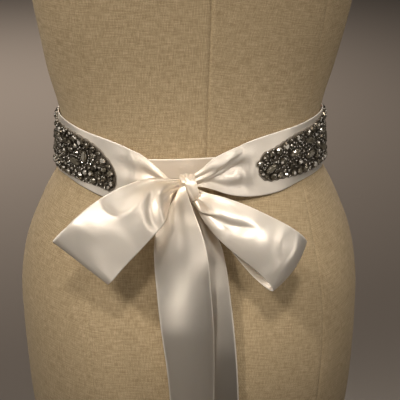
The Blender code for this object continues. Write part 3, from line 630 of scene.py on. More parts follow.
def woven_threads():
    """Crossing threads: Height for bump, Tone for thread colour, Gap for the holes between."""
    group = bpy.data.node_groups.new("woven threads", "ShaderNodeTree")
    for label, kind, value in (
        ("Place", "NodeSocketVector", (0, 0, 0)),
        ("Pitch", "NodeSocketFloat", 0.001),
        ("Unevenness", "NodeSocketFloat", 0.3),
    ):
        socket = group.interface.new_socket(label, in_out="INPUT", socket_type=kind)
        socket.default_value = value
    for label in ("Height", "Tone", "Gap"):
        group.interface.new_socket(label, in_out="OUTPUT", socket_type="NodeSocketFloat")
    given = group.nodes.new("NodeGroupInput").outputs
    result = group.nodes.new("NodeGroupOutput")
    bench = NodeBench(group)
    waver = bench.noise(given["Place"], Scale=180.0, Detail=2.0)
    shift = bench.math("MULTIPLY_ADD", waver, THREAD_WAVER, -THREAD_WAVER / 2)
    shift = bench.math("MULTIPLY", shift, given["Unevenness"])
    waves = []
    for place in bench.add("SeparateXYZ", Vector=given["Place"]).outputs[:2]:
        turns = bench.math("DIVIDE", bench.math("ADD", place, shift), given["Pitch"])
        waves.append(bench.math("SINE", bench.math("MULTIPLY", turns, math.pi)))
    ridges = [bench.math("ABSOLUTE", wave) for wave in waves]
    body = bench.math("POWER", bench.math("MULTIPLY", *ridges), 0.5)
    streaks = []
    for stretch in THREAD_STREAKS:
        scaled = bench.vector_math("MULTIPLY", given["Place"], stretch)["Vector"]
        streaks.append(bench.noise(scaled, Scale=1.0, Detail=2.0, Roughness=0.6))
    gap = bench.math("SUBTRACT", 0.45, body, clamp=True)
    bench.fill(
        result,
        Height=bench.math("MULTIPLY_ADD", bench.math("MULTIPLY", *waves), 0.35, body),
        Tone=bench.math("MULTIPLY", bench.math("ADD", *streaks), 0.5),
        Gap=bench.math("MULTIPLY", gap, 2.2, clamp=True),
    )
    return group


SELVEDGE = 0.0014  # width of the ribbon's denser edge, which is also painted lighter as a painted highlight
SELVEDGE_RISE = 1800.0  # how fast it begins, per metre
BOUNCE_LIGHT_PLACE = (-0.014, 0.116, 0.001)  # painted warm bounce light and warm shade: the satin's colour is warmed near the knot, where its gathered layers light each other
BOUNCE_LIGHT_REACH = 0.052
BOUNCE_LIGHT_SHARE = 0.7


def ivory_satin(threads, name, lie, gloss):
    """Satin whose sheen is drawn out across the ribbon; lie is the turn of that from level."""
    made, bench, shader = new_material(name)
    place = bench.weave_place()
    warp = bench.use(threads, Place=place, Pitch=0.00022, Unevenness=0.2)
    edge = bench.math("ABSOLUTE", bench.add("SeparateXYZ", Vector=place).outputs[1])
    selvedge_and_edge_highlight = bench.math("SUBTRACT", edge, RIBBON_WIDTH / 2 - SELVEDGE)
    selvedge_and_edge_highlight = bench.math("MULTIPLY", selvedge_and_edge_highlight, SELVEDGE_RISE, clamp=True)
    clouds = bench.noise(place, Scale=22.0, Detail=3.0)
    colour = bench.mix(warp["Tone"], (0.85, 0.785, 0.695), (0.91, 0.855, 0.775))
    colour = bench.mix(clouds, colour, (0.89, 0.825, 0.735))
    # the edge's rougher, less glossy weave is real; its lighter colour is a painted highlight along the
    # edge
    colour = bench.mix(selvedge_and_edge_highlight, colour, (0.93, 0.875, 0.79))
    bounce_light_place = bow_point(*BOUNCE_LIGHT_PLACE)
    apart = bench.vector_math("DISTANCE", bench.object_place(), bounce_light_place)["Value"]
    painted_bounce_light = bench.math("MULTIPLY_ADD", apart, -1 / BOUNCE_LIGHT_REACH, 1.0, clamp=True)
    rough = bench.math("MULTIPLY_ADD", warp["Tone"], 0.10, 0.38)
    bench.fill(
        shader,
        # painted warm bounce light: the colour is mixed towards a warm tan near the knot
        Base_Color=bench.mix(
            bench.math("MULTIPLY", painted_bounce_light, BOUNCE_LIGHT_SHARE), colour, (0.95, 0.80, 0.62)
        ),
        Roughness=bench.math("MULTIPLY_ADD", selvedge_and_edge_highlight, 0.2, rough),
        Normal=bench.bump(warp["Height"], 0.10, 0.0001),
        Metallic=bench.math("MULTIPLY_ADD", selvedge_and_edge_highlight, -0.5 * gloss, gloss),
        Specular_IOR_Level=0.55,
        Sheen_Weight=0.12,
        Sheen_Roughness=0.35,
        Sheen_Tint=(1.0, 0.93, 0.84),
        Subsurface_Weight=0.06,
        Subsurface_Radius=(0.004, 0.0025, 0.0015),
        Subsurface_Scale=0.5,
        Anisotropic=0.75,
        Anisotropic_Rotation=lie,
    )
    return made


def form_linen(threads):
    made, bench, shader = new_material("form linen")
    place = bench.weave_place()
    weave = bench.use(threads, Place=place, Pitch=0.0012, Unevenness=0.9)
    clouds = bench.math("MULTIPLY", bench.noise(place, Scale=9.0, Detail=4.0), 0.35)
    colour = bench.ramp(
        weave["Tone"], (0.36, (0.36, 0.264, 0.145)), (0.64, (0.66, 0.525, 0.335))
    )
    colour = bench.mix(clouds, colour, (0.50, 0.385, 0.225))
    height = bench.math("MULTIPLY_ADD", weave["Tone"], 1.2, weave["Height"])
    bench.fill(
        shader,
        Base_Color=bench.mix(weave["Gap"], colour, (0.20, 0.145, 0.08)),
        Normal=bench.bump(height, 0.55, 0.0004),
        Roughness=0.88,
        Specular_IOR_Level=0.25,
        Sheen_Weight=0.10,
    )
    return made


def smoky_stone():
    made, bench, shader = new_material("smoky stone")
    # the ramp's top is painted glints; below it lie the stones' own tones
    colour = bench.ramp(
        bench.attribute("facet_tone_and_glint"),
        (0.0, (0.024, 0.020, 0.014)),
        (0.55, (0.215, 0.195, 0.150)),
        (1.0, (0.93, 0.90, 0.84)),
    )
    bench.fill(
        shader,
        Base_Color=colour,
        Metallic=0.35,
        Roughness=0.16,
        Coat_Weight=0.6,
        Coat_Roughness=0.03,
    )
    return made


def dark_setting():
    made, bench, shader = new_material("dark setting")
    wear = bench.noise(bench.object_place(), Scale=900.0, Detail=2.0)
    bench.fill(
        shader,
        Base_Color=bench.mix(wear, (0.075, 0.062, 0.045), (0.27, 0.235, 0.185)),
        Roughness=bench.math("MULTIPLY_ADD", wear, 0.25, 0.18),
        Metallic=0.9,
    )
    return made


def backing_net(threads):
    made, bench, shader = new_material("backing net")
    net = bench.use(threads, Place=bench.weave_place(), Pitch=0.0006, Unevenness=0.3)
    colour = bench.mix(net["Gap"], (0.30, 0.265, 0.22), (0.10, 0.09, 0.07))
    bench.fill(
        shader,
        # painted shade: the net is darkened inside its rim, where the stones shade it
        Base_Color=bench.mix(bench.attribute("inner"), colour, (0.075, 0.062, 0.045)),
        Normal=bench.bump(net["Height"], 0.5, 0.0002),
        Roughness=0.8,
    )
    return made


def cap_wood():
    made, bench, shader = new_material("varnished wood")
    grain_place = bench.add("Mapping", Vector=bench.object_place(), Scale=(60, 9, 60))
    grain = bench.noise(grain_place.outputs[0], Scale=1.5, Detail=5.0, Distortion=0.8)
    bench.fill(
        shader,
        Base_Color=bench.mix(grain, (0.15, 0.075, 0.035), (0.42, 0.26, 0.14)),
        Normal=bench.bump(grain, 0.15, 0.0003),
        Roughness=0.38,
        Coat_Weight=0.35,
        Coat_Roughness=0.15,
    )
    return made


def black_paint():
    made, bench, shader = new_material("black painted iron")
    place = bench.object_place()
    wear = bench.noise(place, Scale=26.0, Detail=5.0)
    bench.fill(
        shader,
        Base_Color=bench.mix(wear, (0.022, 0.021, 0.020), (0.062, 0.058, 0.054)),
        Roughness=bench.math("MULTIPLY_ADD", wear, 0.30, 0.30),
        Normal=bench.bump(bench.noise(place, Scale=420.0, Detail=3.0), 0.25, 0.0003),
    )
    return made


LEVEL_SHEEN = 0.25  # turns
LOOP_LEAN = 0.083
THREADS = woven_threads()
SATIN = ivory_satin(THREADS, "ivory satin", LEVEL_SHEEN, 0.6)
SATIN_LEFT_LOOP = ivory_satin(
    THREADS, "ivory satin of the left loop", LEVEL_SHEEN + LOOP_LEAN, 0.6
)
SATIN_RIGHT_LOOP = ivory_satin(
    THREADS, "ivory satin of the right loop", LEVEL_SHEEN - LOOP_LEAN, 0.6
)
# painted shade and light: the tails' copies carry more gloss, and so less diffuse light, to darken them
# as if in shade; the knot's copy carries less, to lighten its shade
SATIN_TAILS = ivory_satin(THREADS, "ivory satin of the tails", 0.0, 0.8)
SATIN_REAR_TAIL = ivory_satin(THREADS, "ivory satin of the rear tail", 0.0, 0.95)
SATIN_KNOT = ivory_satin(THREADS, "ivory satin of the knot", 0.0, 0.3)
LINEN = form_linen(THREADS)
STONE = smoky_stone()
SETTING = dark_setting()
NET = backing_net(THREADS)
WOOD = cap_wood()
IRON = black_paint()

# ---------------------------------------------------------------- dress form
# angle of each seam in degrees from the centre back, the same on both sides
SeamRow = namedtuple("SeamRow", "height back side front")
SEAM_ROWS = table(
    SeamRow,
    (-0.340, 40, 90, 138),
    (-0.200, 43, 91, 139),
    (-0.110, 48, 92, 140),
    (0.000, 54, 93, 143),
    (0.045, 55, 93, 145),
    (0.090, 52, 93, 149),
    (0.168, 48.5, 93, 152),
    (0.250, 46, 92, 149),
    (0.330, 41, 90, 143),
    (0.376, 42, 90, 138),
    (0.475, 45, 90, 135),
)
CENTRE_BACK = 0.6  # the centre back seam wanders a little from the middle
# share of the way across a panel, and how far the linen stands up there
PanelStep = namedtuple("PanelStep", "share rise")
PANEL_STEPS = table(
    PanelStep,
    (0.000, -0.00085),
    (0.007, -0.00020),
    (0.018, 0.00030),
    (0.045, 0.00034),
    (0.080, 0.00010),
    (0.130, 0.0),
    (0.200, 0.0),
    (0.280, 0.0),
    (0.370, 0.0),
    (0.460, 0.0),
    (0.540, 0.0),
    (0.630, 0.0),
    (0.720, 0.0),
    (0.800, 0.0),
    (0.870, 0.0),
    (0.920, 0.00010),
    (0.955, 0.00034),
    (0.982, 0.00030),
    (0.993, -0.00020),
)
PANEL_GRAINS = [4, -7, 6, -3, 11, -6, 7, -4]  # degrees the cloth is turned in each panel
PANELS = len(PANEL_GRAINS)
PANEL_APART = 0.5  # between the panels' weaves, so that no two are alike
CENTRE_SEAM = 4  # counted from the wearer's front
SIDE_SEAM_SHARE = 0.45  # of the centre back seam's rise, for the other seams
FORM_RING_STEP = 0.005
RIM_SHARE = 0.96  # of the end rings, where the linen is turned in
MERGED = 0.00001  # corners this near to each other become one
SAME_HEIGHT = 1e-6


def seam_angles(up):
    row = row_at(SEAM_ROWS, up)
    left = [-180, -row.front, -row.side, -row.back]
    return left + [CENTRE_BACK, row.back, row.side, row.front, 180]


def on_form(degrees, up, rise, row):
    """World point on the form, the angle counted from the centre back towards +X."""
    angle = math.radians(degrees)
    direction = Vector((math.sin(angle), -math.cos(angle), 0))
    place = direction * (form_radius(direction, up, row) + rise)
    place.z = WAIST_HEIGHT + up
    return place


def linen_rings(heights):
    """Places on the linen round the form at each height, each ring closed by its first place."""
    rings = []
    for up in heights:
        row = row_at(FORM_ROWS, up)
        seams = seam_angles(up)
        ring = []
        for panel in range(PANELS):
            for share, rise in PANEL_STEPS:
                if panel + round(share) != CENTRE_SEAM:
                    rise *= SIDE_SEAM_SHARE
                angle = seams[panel] + (seams[panel + 1] - seams[panel]) * share
                ring.append(on_form(angle, up, rise, row))
        rings.append(ring + [ring[0]])
    return rings


def linen_form():
    low, high = FORM_ROWS[0].height, FORM_ROWS[-1].height
    rows, steps = round((high - low) / FORM_RING_STEP), len(PANEL_STEPS)
    columns = PANELS * steps
    rings = linen_rings([low + (high - low) * number / rows for number in range(rows + 1)])
    weaves = []
    for ring in rings:
        steps_round = ((second - first).length for first, second in zip(ring, ring[1:]))
        weaves.append(list(itertools.accumulate(steps_round, initial=0.0)))
    middles = [panel * steps + steps // 2 for panel in range(PANELS)]
    climbs = [[0.0] * PANELS]
    for lower, upper in zip(rings, rings[1:]):
        rises = [(upper[middle] - lower[middle]).length for middle in middles]
        climbs.append([climb + rise for climb, rise in zip(climbs[-1], rises)])
    mesh = bmesh.new()
    bmesh.ops.create_grid(mesh, x_segments=columns, y_segments=rows, size=1)
    weave = mesh.loops.layers.uv.new("weave")
    spots = {}
    for corner in mesh.verts:
        column = round((corner.co.x + 1) / 2 * columns)
        number = round((corner.co.y + 1) / 2 * rows)
        spots[corner] = column, number
        corner.co = rings[number][column]
    for face in mesh.faces:
        panel = min(spots[corner.vert][0] for corner in face.loops) // steps
        turn = math.radians(PANEL_GRAINS[panel])
        for corner in face.loops:
            column, number = spots[corner.vert]
            right = weaves[number][column] - weaves[number][middles[panel]]
            up = climbs[number][panel]
            corner[weave].uv = (
                right * math.cos(turn) - up * math.sin(turn) + PANEL_APART * panel,
                right * math.sin(turn) + up * math.cos(turn),
            )
    bmesh.ops.remove_doubles(mesh, verts=mesh.verts[:], dist=MERGED)
    for edges in ring_edges(mesh, WAIST_HEIGHT + low), ring_edges(mesh, WAIST_HEIGHT + high):
        rim = bmesh.ops.extrude_edge_only(mesh, edges=edges)["geom"]
        rim_corners = [item for item in rim if isinstance(item, bmesh.types.BMVert)]
        bmesh.ops.scale(mesh, vec=(RIM_SHARE, RIM_SHARE, 1), verts=rim_corners)
        rim_edges = [item for item in rim if isinstance(item, bmesh.types.BMEdge)]
        bmesh.ops.contextual_create(mesh, geom=rim_edges)
    mesh.normal_update()
    bmesh.ops.recalc_face_normals(mesh, faces=mesh.faces[:])
    return finish_mesh("linen_form", mesh, LINEN, "form_torso", slot="linen")


def ring_edges(mesh, height):
    """The open edges at a height."""

    def there(corner):
        return abs(corner.co.z - height) < SAME_HEIGHT

    return [edge for edge in mesh.edges if edge.is_boundary and all(map(there, edge.verts))]


# ---------------------------------------------------------------- sash round the waist
BAND_RADIUS = 0.118  # mean, for lengths along the sash
BAND_ROWS_ACROSS = 44
CREASED = 45  # degrees from the knot, beyond which the sash lies smooth
KEPT_ANGLE, KEPT_HEIGHT = 4, 6  # decimals that form radii are kept by
BAND_CREASES_LAID = laid_out(BAND_CREASES, DEGREE_SPACING)
waist_radii = {}


def waist_radius(degrees, up):
    """The form's radius at an angle from the knot, worked out once for each place."""
    key = (round(degrees, KEPT_ANGLE), round(up, KEPT_HEIGHT))
    if key not in waist_radii:
        waist_radii[key] = form_radius(level(round_point(degrees, 1, 0)), up)
    return waist_radii[key]


def band_point(degrees, across):
    """Radius and height of a place on the sash's inner face."""
    row, share = band_row(degrees), (across + 1) / 2
    up = row.bottom + (row.top - row.bottom) * share
    straight = waist_radius(degrees, row.bottom) * (1 - share)
    straight += waist_radius(degrees, row.top) * share
    radius = max(straight, waist_radius(degrees, up)) + row.lift
    radius += row.pleat * math.cos(math.pi * BAND_PLEATS * share)
    if abs(degrees) < CREASED:
        fullness = (row.top - row.bottom) / RIBBON_WIDTH
        x, y = degrees * DEGREE_SPACING, across * RIBBON_WIDTH / 2
        radius += crease_move(BAND_CREASES_LAID, x, y, fullness)[0]
    return radius, up


def push_out(mesh, rise):
    """Moves each corner of an open sheet along its normal, by rise(corner)."""
    mesh.normal_update()
    moves = [(corner, corner.normal * rise(corner)) for corner in mesh.verts]
    for corner, move in moves:
        corner.co += move


def sash_stretch(name, node, start, end, columns):
    """A stretch of the sash round the waist from one angle to another, and its length."""

    def place(along, over):
        degrees, across = start + (end - start) * along, 2 * over - 1
        radius, up = band_point(degrees, across)
        weave = (math.radians(degrees) * BAND_RADIUS, across * RIBBON_WIDTH / 2)
        return round_point(degrees, radius, up), weave

    mesh = cloth_grid(columns, BAND_ROWS_ACROSS, place)
    turn_outwards(mesh)
    push_out(mesh, lambda corner: WALL / 2 + slack(corner.co))
    made = thicken(finish_mesh(name, mesh, SATIN, node, slot="satin"), CLOTH)
    return made, math.radians(abs(end - start)) * BAND_RADIUS


UNDER_START, UNDER_SPAN = -24, 41  # degrees from the knot
UNDER_MIDDLE, UNDER_HALF = 0.00575, 0.00875  # heights over the waist
UNDER_WEAVE, UNDER_WEAVE_HALF = 0.0197, 0.0088  # the strip is the ribbon's top edge
UNDER_GRID = (60, 18)


def flat_under_pass():
    """The flat stretch that shows over the gathered ones, behind the knot."""

    def place(along, over):
        degrees = UNDER_START + UNDER_SPAN * along
        across = 2 * over - 1
        up = UNDER_MIDDLE + UNDER_HALF * across
        radius = form_radius(level(round_point(degrees, 1, 0)), up) + FORM_GAP
        weave = (degrees * DEGREE_SPACING, across * UNDER_WEAVE_HALF + UNDER_WEAVE)
        return round_point(degrees, radius, up), weave

    mesh = cloth_grid(*UNDER_GRID, place)
    turn_outwards(mesh)
    push_out(mesh, lambda corner: WALL / 2)
    made = finish_mesh("under_pass", mesh, SATIN, "sash_under_pass", slot="satin")
    return thicken(made, CLOTH)


# ---------------------------------------------------------------- bow
COLUMN_STEP = 0.0016  # along the ribbon
MOST_STEPS = 26  # between two sections
BOW_ROWS_ACROSS = 44
AHEAD = 0.002  # of the ribbon's length, for its direction at a place
STRAY = 0.9  # of a wave, how far the gathers stray sideways
STRAY_ALONG, STRAY_ACROSS = 0.7, 2.2
PUCKER_SIZE = 0.0030
PUCKER_FROM = 0.005  # over the waist, where the puckers are as deep as they get


def section_places(rows):
    """How far along the ribbon each section is, measured down its middle."""
    places, before = [0.0], None
    for row in rows:
        middle = Vector(row[0:3]) + Vector(row[3:6])
        if before is not None:
            places.append(places[-1] + (middle - before).length / 2)
        before = middle
    return places


def bow_cloth(name, node, shape, satin, rows_across=BOW_ROWS_ACROSS, crumple=0.0):
    """A ribbon through sections, with its creases, as one thin sheet, and its length."""
    rows, places = shape.rows, section_places(shape.rows)
    stations = []
    for index, (lower, upper) in enumerate(zip(places, places[1:])):
        steps = min(max(math.ceil((upper - lower) / COLUMN_STEP), 2), MOST_STEPS)
        stations += [index + step / steps for step in range(steps)]
    stations.append(len(rows) - 1)
    columns = len(stations) - 1
    step = places[-1] * AHEAD
    creases = laid_out(shape.creases, ROW_SPACING)

    @functools.cache
    def frame_at(column):
        station = stations[column]
        index = min(int(station), len(rows) - 2)
        place = places[index] + (places[index + 1] - places[index]) * (station - index)
        row = along_rows(rows, places, place)
        ahead = along_rows(rows, places, min(place + step, places[-1]))
        behind = along_rows(rows, places, max(place - step, 0))
        edge_a, edge_b = bow_point(*row[0:3]), bow_point(*row[3:6])
        travel = bow_point(*ahead[0:3]) + bow_point(*ahead[3:6])
        travel -= bow_point(*behind[0:3]) + bow_point(*behind[3:6])
        normal = (edge_b - edge_a).cross(travel).normalized() * shape.face
        return place, station, row, edge_a, edge_b, normal

    def lay(along, over):
        place, station, row, edge_a, edge_b, normal = frame_at(round(along * columns))
        across = 2 * over - 1
        rise = row.belly * (1 - across * across)
        rise += row.pleat * math.cos(math.pi * BOW_PLEATS * over)
        wide = edge_b - edge_a
        fullness = wide.length / RIBBON_WIDTH
        gathers = shape.start_gathers if station < (len(rows) - 1) / 2 else shape.end_gathers
        stray = noise.noise(Vector((station * STRAY_ALONG, across * STRAY_ACROSS, len(rows))))
        wave = math.sin(2 * math.pi * (GATHERS * over + STRAY * stray))
        rise += gathers * max(1 - fullness / GATHERS_END, 0) * wave
        flat_across = across * RIBBON_WIDTH / 2
        height, lean = crease_move(creases, station * ROW_SPACING, flat_across, fullness)
        point = edge_a + wide * over + normal * (rise + height) + wide.normalized() * lean
        return point, (place, flat_across)

    def pucker(corner):
        high = min(max((corner.co.z - WAIST_HEIGHT) / PUCKER_FROM, 0), 1)
        wave = noise.noise(corner.co / PUCKER_SIZE, noise_basis="PERLIN_ORIGINAL")
        return slack(corner.co) + crumple * high * wave

    mesh = cloth_grid(columns, rows_across, lay)
    push_out(mesh, pucker)
    made = thicken(finish_mesh(name, mesh, satin, node, slot="satin"), CLOTH)
    return made, places[-1]


KNOT_WRAP_ROWS = table(
    Section,
    (-0.0050, 0.1000, 0.0040, 0.0054, 0.1000, 0.0048, 0.0, 0.0),
    (-0.0062, 0.1060, 0.0064, 0.0054, 0.1060, 0.0074, 0.0006, 0.0),
    (-0.0062, 0.1115, 0.0062, 0.0060, 0.1120, 0.0070, 0.0010, 0.0),
    (-0.0046, 0.1150, 0.0036, 0.0070, 0.1160, 0.0040, 0.0012, 0.0),
    (-0.0028, 0.1168, -0.0014, 0.0082, 0.1175, -0.0010, 0.0020, 0.0),
    (-0.0016, 0.1168, -0.0066, 0.0090, 0.1170, -0.0062, 0.0026, 0.0),
    (-0.0006, 0.1146, -0.0114, 0.0086, 0.1139, -0.0109, 0.0024, 0.0),
    (0.0004, 0.1085, -0.0137, 0.0078, 0.1076, -0.0130, 0.0010, 0.0),
    (0.0005, 0.1020, -0.0122, 0.0074, 0.1020, -0.0122, 0.0, 0.0),
)
KNOT_CREASES = table(
    Crease,
    (-0.0030, 0.0070, 0.0060, [(0.6, -0.55, 0.5), (1.6, -0.45, 1), (2.6, -0.30, 0.8), (3.3, -0.2, 0)]),
    (-0.0026, 0.0060, 0.0070, [(0.8, 0.35, 0.6), (1.8, 0.30, 1), (2.6, 0.40, 0.7), (3.2, 0.6, 0)]),
    (0.0020, 0.0080, 0.0080, [(1.2, -0.1, 0), (2.0, -0.05, 1), (2.8, 0.1, 0)]),
    (-0.0036, 0.0110, 0.0060, [
        (3.2, -0.5, 0), (4.0, -0.25, 0.8), (4.8, 0.10, 1), (5.6, 0.35, 0.8), (6.6, 0.5, 0),
    ]),
)
KNOT_CRUMPLE = 0.0009  # how far the wrap's top is puckered
KNOT_ROWS = 48
KNOT_WRAP = RibbonShape(KNOT_WRAP_ROWS, KNOT_CREASES, -1, 0.0, 0.0)


# ---------------------------------------------------------------- beaded applique
NET_OUT = 0.0004  # off the satin
NET_RIM = 0.0012  # shows beyond the border stones
BORDER_STONE = 0.0032  # radii
MIDDLE_STONE = 0.0020
SMALL_STONE = 0.0012
SEED_STONE = 0.00095
SEED_PITCH = 0.0022  # round the ovals
STONE_ROOM = 0.00018  # least gap between settings
SPRAY_EVERY = 0.0445  # along the sash
# a spray of stones: place along and up, turn in degrees and half sizes
SprayStone = namedtuple("SprayStone", "along up turn long wide")
SPRAY = table(
    SprayStone,
    (0.0000, 0.0000, 0, 0.0040, 0.0040),
    (0.0130, 0.0070, 18, 0.0070, 0.0036),
    (0.0130, -0.0070, -18, 0.0070, 0.0036),
    (-0.0125, 0.0066, -24, 0.0064, 0.0034),
    (-0.0125, -0.0066, 24, 0.0064, 0.0034),
    (0.0000, 0.0115, 86, 0.0054, 0.0033),
    (0.0000, -0.0115, 94, 0.0054, 0.0033),
    (0.0235, 0.0000, 90, 0.0058, 0.0034),
    (0.0230, 0.0125, 0, 0.0035, 0.0035),
    (0.0230, -0.0125, 0, 0.0035, 0.0035),
)


@functools.cache
def applique_row(degrees):
    """The applique's top and bottom at an angle, counted on past the wearer's front."""
    if degrees <= SIDE_ANGLE:
        return row_at(APPLIQUE_RIGHT_ROWS, degrees)
    if degrees >= 360 - SIDE_ANGLE:
        return row_at(APPLIQUE_LEFT_ROWS, degrees - 360)
    return round_front(APPLIQUE_RIGHT_ROWS[-1], APPLIQUE_LEFT_ROWS[0], degrees)


APPLIQUE_START = APPLIQUE_RIGHT_ROWS[0].angle
APPLIQUE_END = 360 + APPLIQUE_LEFT_ROWS[-1].angle
ENDS_BEYOND = 4  # degrees that the sash is measured past the applique's ends
MEASURED_UP = 0.010  # height at which lengths along the sash are measured
SPAN_ANGLE, SPAN_UP = 0.4, 0.0008  # to either side of a place, for the face's directions there


def nearest_row(degrees):
    """The applique's row at an angle, or at its end where the angle is past that."""
    return applique_row(min(max(degrees, APPLIQUE_START), APPLIQUE_END))


class SashFace:
    """The sash's outer face, found by distance along it and height, for what is sewn on it."""

    def __init__(self):
        self.degrees, self.lengths = [], [0.0]
        before = None
        degrees = APPLIQUE_START - ENDS_BEYOND
        while degrees <= APPLIQUE_END + ENDS_BEYOND:
            point = self.point(degrees, MEASURED_UP, 0.0)
            if before is not None:
                self.lengths.append(self.lengths[-1] + (point - before).length)
            self.degrees.append(degrees)
            before = point
            degrees += 1.0

    def point(self, degrees, up, out):
        turned = (degrees + SIDE_ANGLE) % 360 - SIDE_ANGLE
        row = band_row(turned)
        across = 2 * (up - row.bottom) / (row.top - row.bottom) - 1
        radius, height = band_point(turned, across)
        return round_point(turned, radius + WALL + out, height)

    def degrees_at(self, length):
        low, high = 0, len(self.lengths) - 1
        while high - low > 1:
            middle = (low + high) // 2
            low, high = (middle, high) if self.lengths[middle] <= length else (low, middle)
        share = (length - self.lengths[low]) / (self.lengths[low + 1] - self.lengths[low])
        return self.degrees[low] + share

    def frame(self, length, up):
        """Origin on the face, with x along the sash, y up it and z out of it."""
        degrees = self.degrees_at(length)
        here = self.point(degrees, up, 0.0)
        along = self.point(degrees + SPAN_ANGLE, up, 0.0)
        along -= self.point(degrees - SPAN_ANGLE, up, 0.0)
        over = self.point(degrees, up + SPAN_UP, 0.0) - self.point(degrees, up - SPAN_UP, 0.0)
        out = along.cross(over).normalized()
        along.normalize()
        turn = Matrix((along, out.cross(along), out)).transposed()
        return Matrix.Translation(here) @ turn.to_4x4()


ROUND_UNDER = 1.15  # length over width, under which a stone counts as round
TIP_INSET = 0.8  # of a stone's half width, from its tip to the middle of its last disc
# discs that fill a long stone: share of the way to a tip, and share of the half width
LONG_DISCS = ((0, 1), (1, 0.72), (-1, 0.72), (0.5, 0.95), (-0.5, 0.95))
EDGE_SHARE = 0.8  # of a stone's half width, kept inside the applique's edge
END_ANGLE = 0.3  # degrees kept free at the applique's ends
EDGE_SPAN = 1.2  # degrees to either side, where the edge is looked at too
CELL = 0.008  # stones are looked up by cells this large


class StonePlan:
    """Where the stones go: each is (length, up, turn, half length, half width)."""

    def __init__(self, face):
        self.face, self.stones, self.cells = face, [], {}
        self.first, self.last = face.lengths[ENDS_BEYOND], face.lengths[-1 - ENDS_BEYOND]

    def discs(self, length, up, turn, long, wide):
        """The stone as a row of discs, for keeping stones apart."""
        if long < wide * ROUND_UNDER:
            return [(length, up, wide)]
        reach = long - wide * TIP_INSET
        run, rise = math.cos(turn) * reach, math.sin(turn) * reach
        return [(length + run * s, up + rise * s, wide * size) for s, size in LONG_DISCS]

    def inside(self, length, up, margin):
        degrees = self.face.degrees_at(length)
        if not APPLIQUE_START + END_ANGLE < degrees < APPLIQUE_END - END_ANGLE:
            return False
        row = applique_row(degrees)
        ahead, behind = nearest_row(degrees + EDGE_SPAN), nearest_row(degrees - EDGE_SPAN)
        top = min(row.top, ahead.top + margin, behind.top + margin)
        bottom = max(row.bottom, ahead.bottom - margin, behind.bottom - margin)
        return bottom + margin <= up <= top - margin

    def free(self, discs):
        for length, up, radius in discs:
            column, row = int(length // CELL), int(up // CELL)
            for cell in itertools.product(range(column - 1, column + 2), range(row - 1, row + 2)):
                for other in self.cells.get(cell, ()):
                    apart = math.hypot(length - other[0], up - other[1])
                    if apart < radius + other[2] + STONE_ROOM:
                        return False
        return True

    def add(self, length, up, turn, long, wide, sure=False):
        discs = self.discs(length, up, turn, long, wide)
        if not sure and not (self.free(discs) and self.inside(length, up, wide * EDGE_SHARE)):
            return False
        for disc in discs:
            cell = int(disc[0] // CELL), int(disc[1] // CELL)
            self.cells.setdefault(cell, []).append(disc)
        self.stones.append((length, up, turn, long, wide))
        return True


OUTLINE_STEPS = 1600
BORDER_PITCH = 2 * BORDER_STONE + 0.0005
BORDER_SIZES = (0.62, 0.85, 1.0, 1.0, 1.12)
BORDER_ROOM = 0.9  # of its radius, that a border stone needs free
NO_RUN = 1e-9


def border_stones(plan, chance):
    """Stones all round the applique's edge, evenly spaced."""
    top, bottom = [], []
    for number in range(OUTLINE_STEPS + 1):
        length = plan.first + (plan.last - plan.first) * number / OUTLINE_STEPS
        row = nearest_row(plan.face.degrees_at(length))
        top.append((length, row.top))
        bottom.append((length, row.bottom))
    outline = top + bottom[::-1]
    gone = 0.0
    for (length_a, up_a), (length_b, up_b) in zip(outline, outline[1:]):
        run = math.hypot(length_b - length_a, up_b - up_a)
        gone += run
        if gone < BORDER_PITCH or run < NO_RUN:
            continue
        inward = Vector((up_b - up_a, length_a - length_b)) / run
        size = BORDER_STONE * chance.choice(BORDER_SIZES)
        centre = Vector((length_b, up_b)) + inward * (size + NET_RIM)
        if plan.free([(centre.x, centre.y, size * BORDER_ROOM)]):
            plan.add(centre.x, centre.y, chance.uniform(0, 1), size, size, sure=True)
            gone = 0.0


SPRAYS_FROM, SPRAYS_TO = 0.024, 0.012  # where sprays begin and stop, from the applique's ends
SPRAY_STRAY, SPRAY_TURN = 0.001, 9  # metres up or down, degrees
SPRAY_HEIGHT = 0.046  # of the applique, under which a spray is made flatter


def spray_stones(plan, chance):
    """Sprays of large stones along the middle, each stone framed by seed stones."""
    length = plan.first + SPRAYS_FROM
    while length < plan.last - SPRAYS_TO:
        row = applique_row(plan.face.degrees_at(length))
        middle = (row.top + row.bottom) / 2 + chance.uniform(-SPRAY_STRAY, SPRAY_STRAY)
        tall = min((row.top - row.bottom) / SPRAY_HEIGHT, 1.0)
        for stone in SPRAY:
            turn = math.radians(stone.turn + chance.uniform(-SPRAY_TURN, SPRAY_TURN))
            along, up = length + stone.along, middle + stone.up * tall
            if plan.add(along, up, turn, stone.long, stone.wide):
                frame_stone(plan, along, up, turn, stone.long, stone.wide)
        length += SPRAY_EVERY


SEED_GAP = 0.0004  # between the seed stones and what they frame


def frame_stone(plan, along, up, turn, long, wide):
    """Seed stones all round a larger one."""
    long, wide = long + SEED_STONE + SEED_GAP, wide + SEED_STONE + SEED_GAP
    round_it = math.pi * (3 * (long + wide) - math.sqrt((3 * long + wide) * (long + 3 * wide)))
    seeds = int(round_it / SEED_PITCH)
    angle = 0.0
    for _ in range(seeds):
        x, y = long * math.cos(angle), wide * math.sin(angle)
        seed_along = along + x * math.cos(turn) - y * math.sin(turn)
        seed_up = up + x * math.sin(turn) + y * math.cos(turn)
        plan.add(seed_along, seed_up, angle, SEED_STONE, SEED_STONE)
        speed = math.hypot(long * math.sin(angle), wide * math.cos(angle))
        angle += round_it / seeds / speed


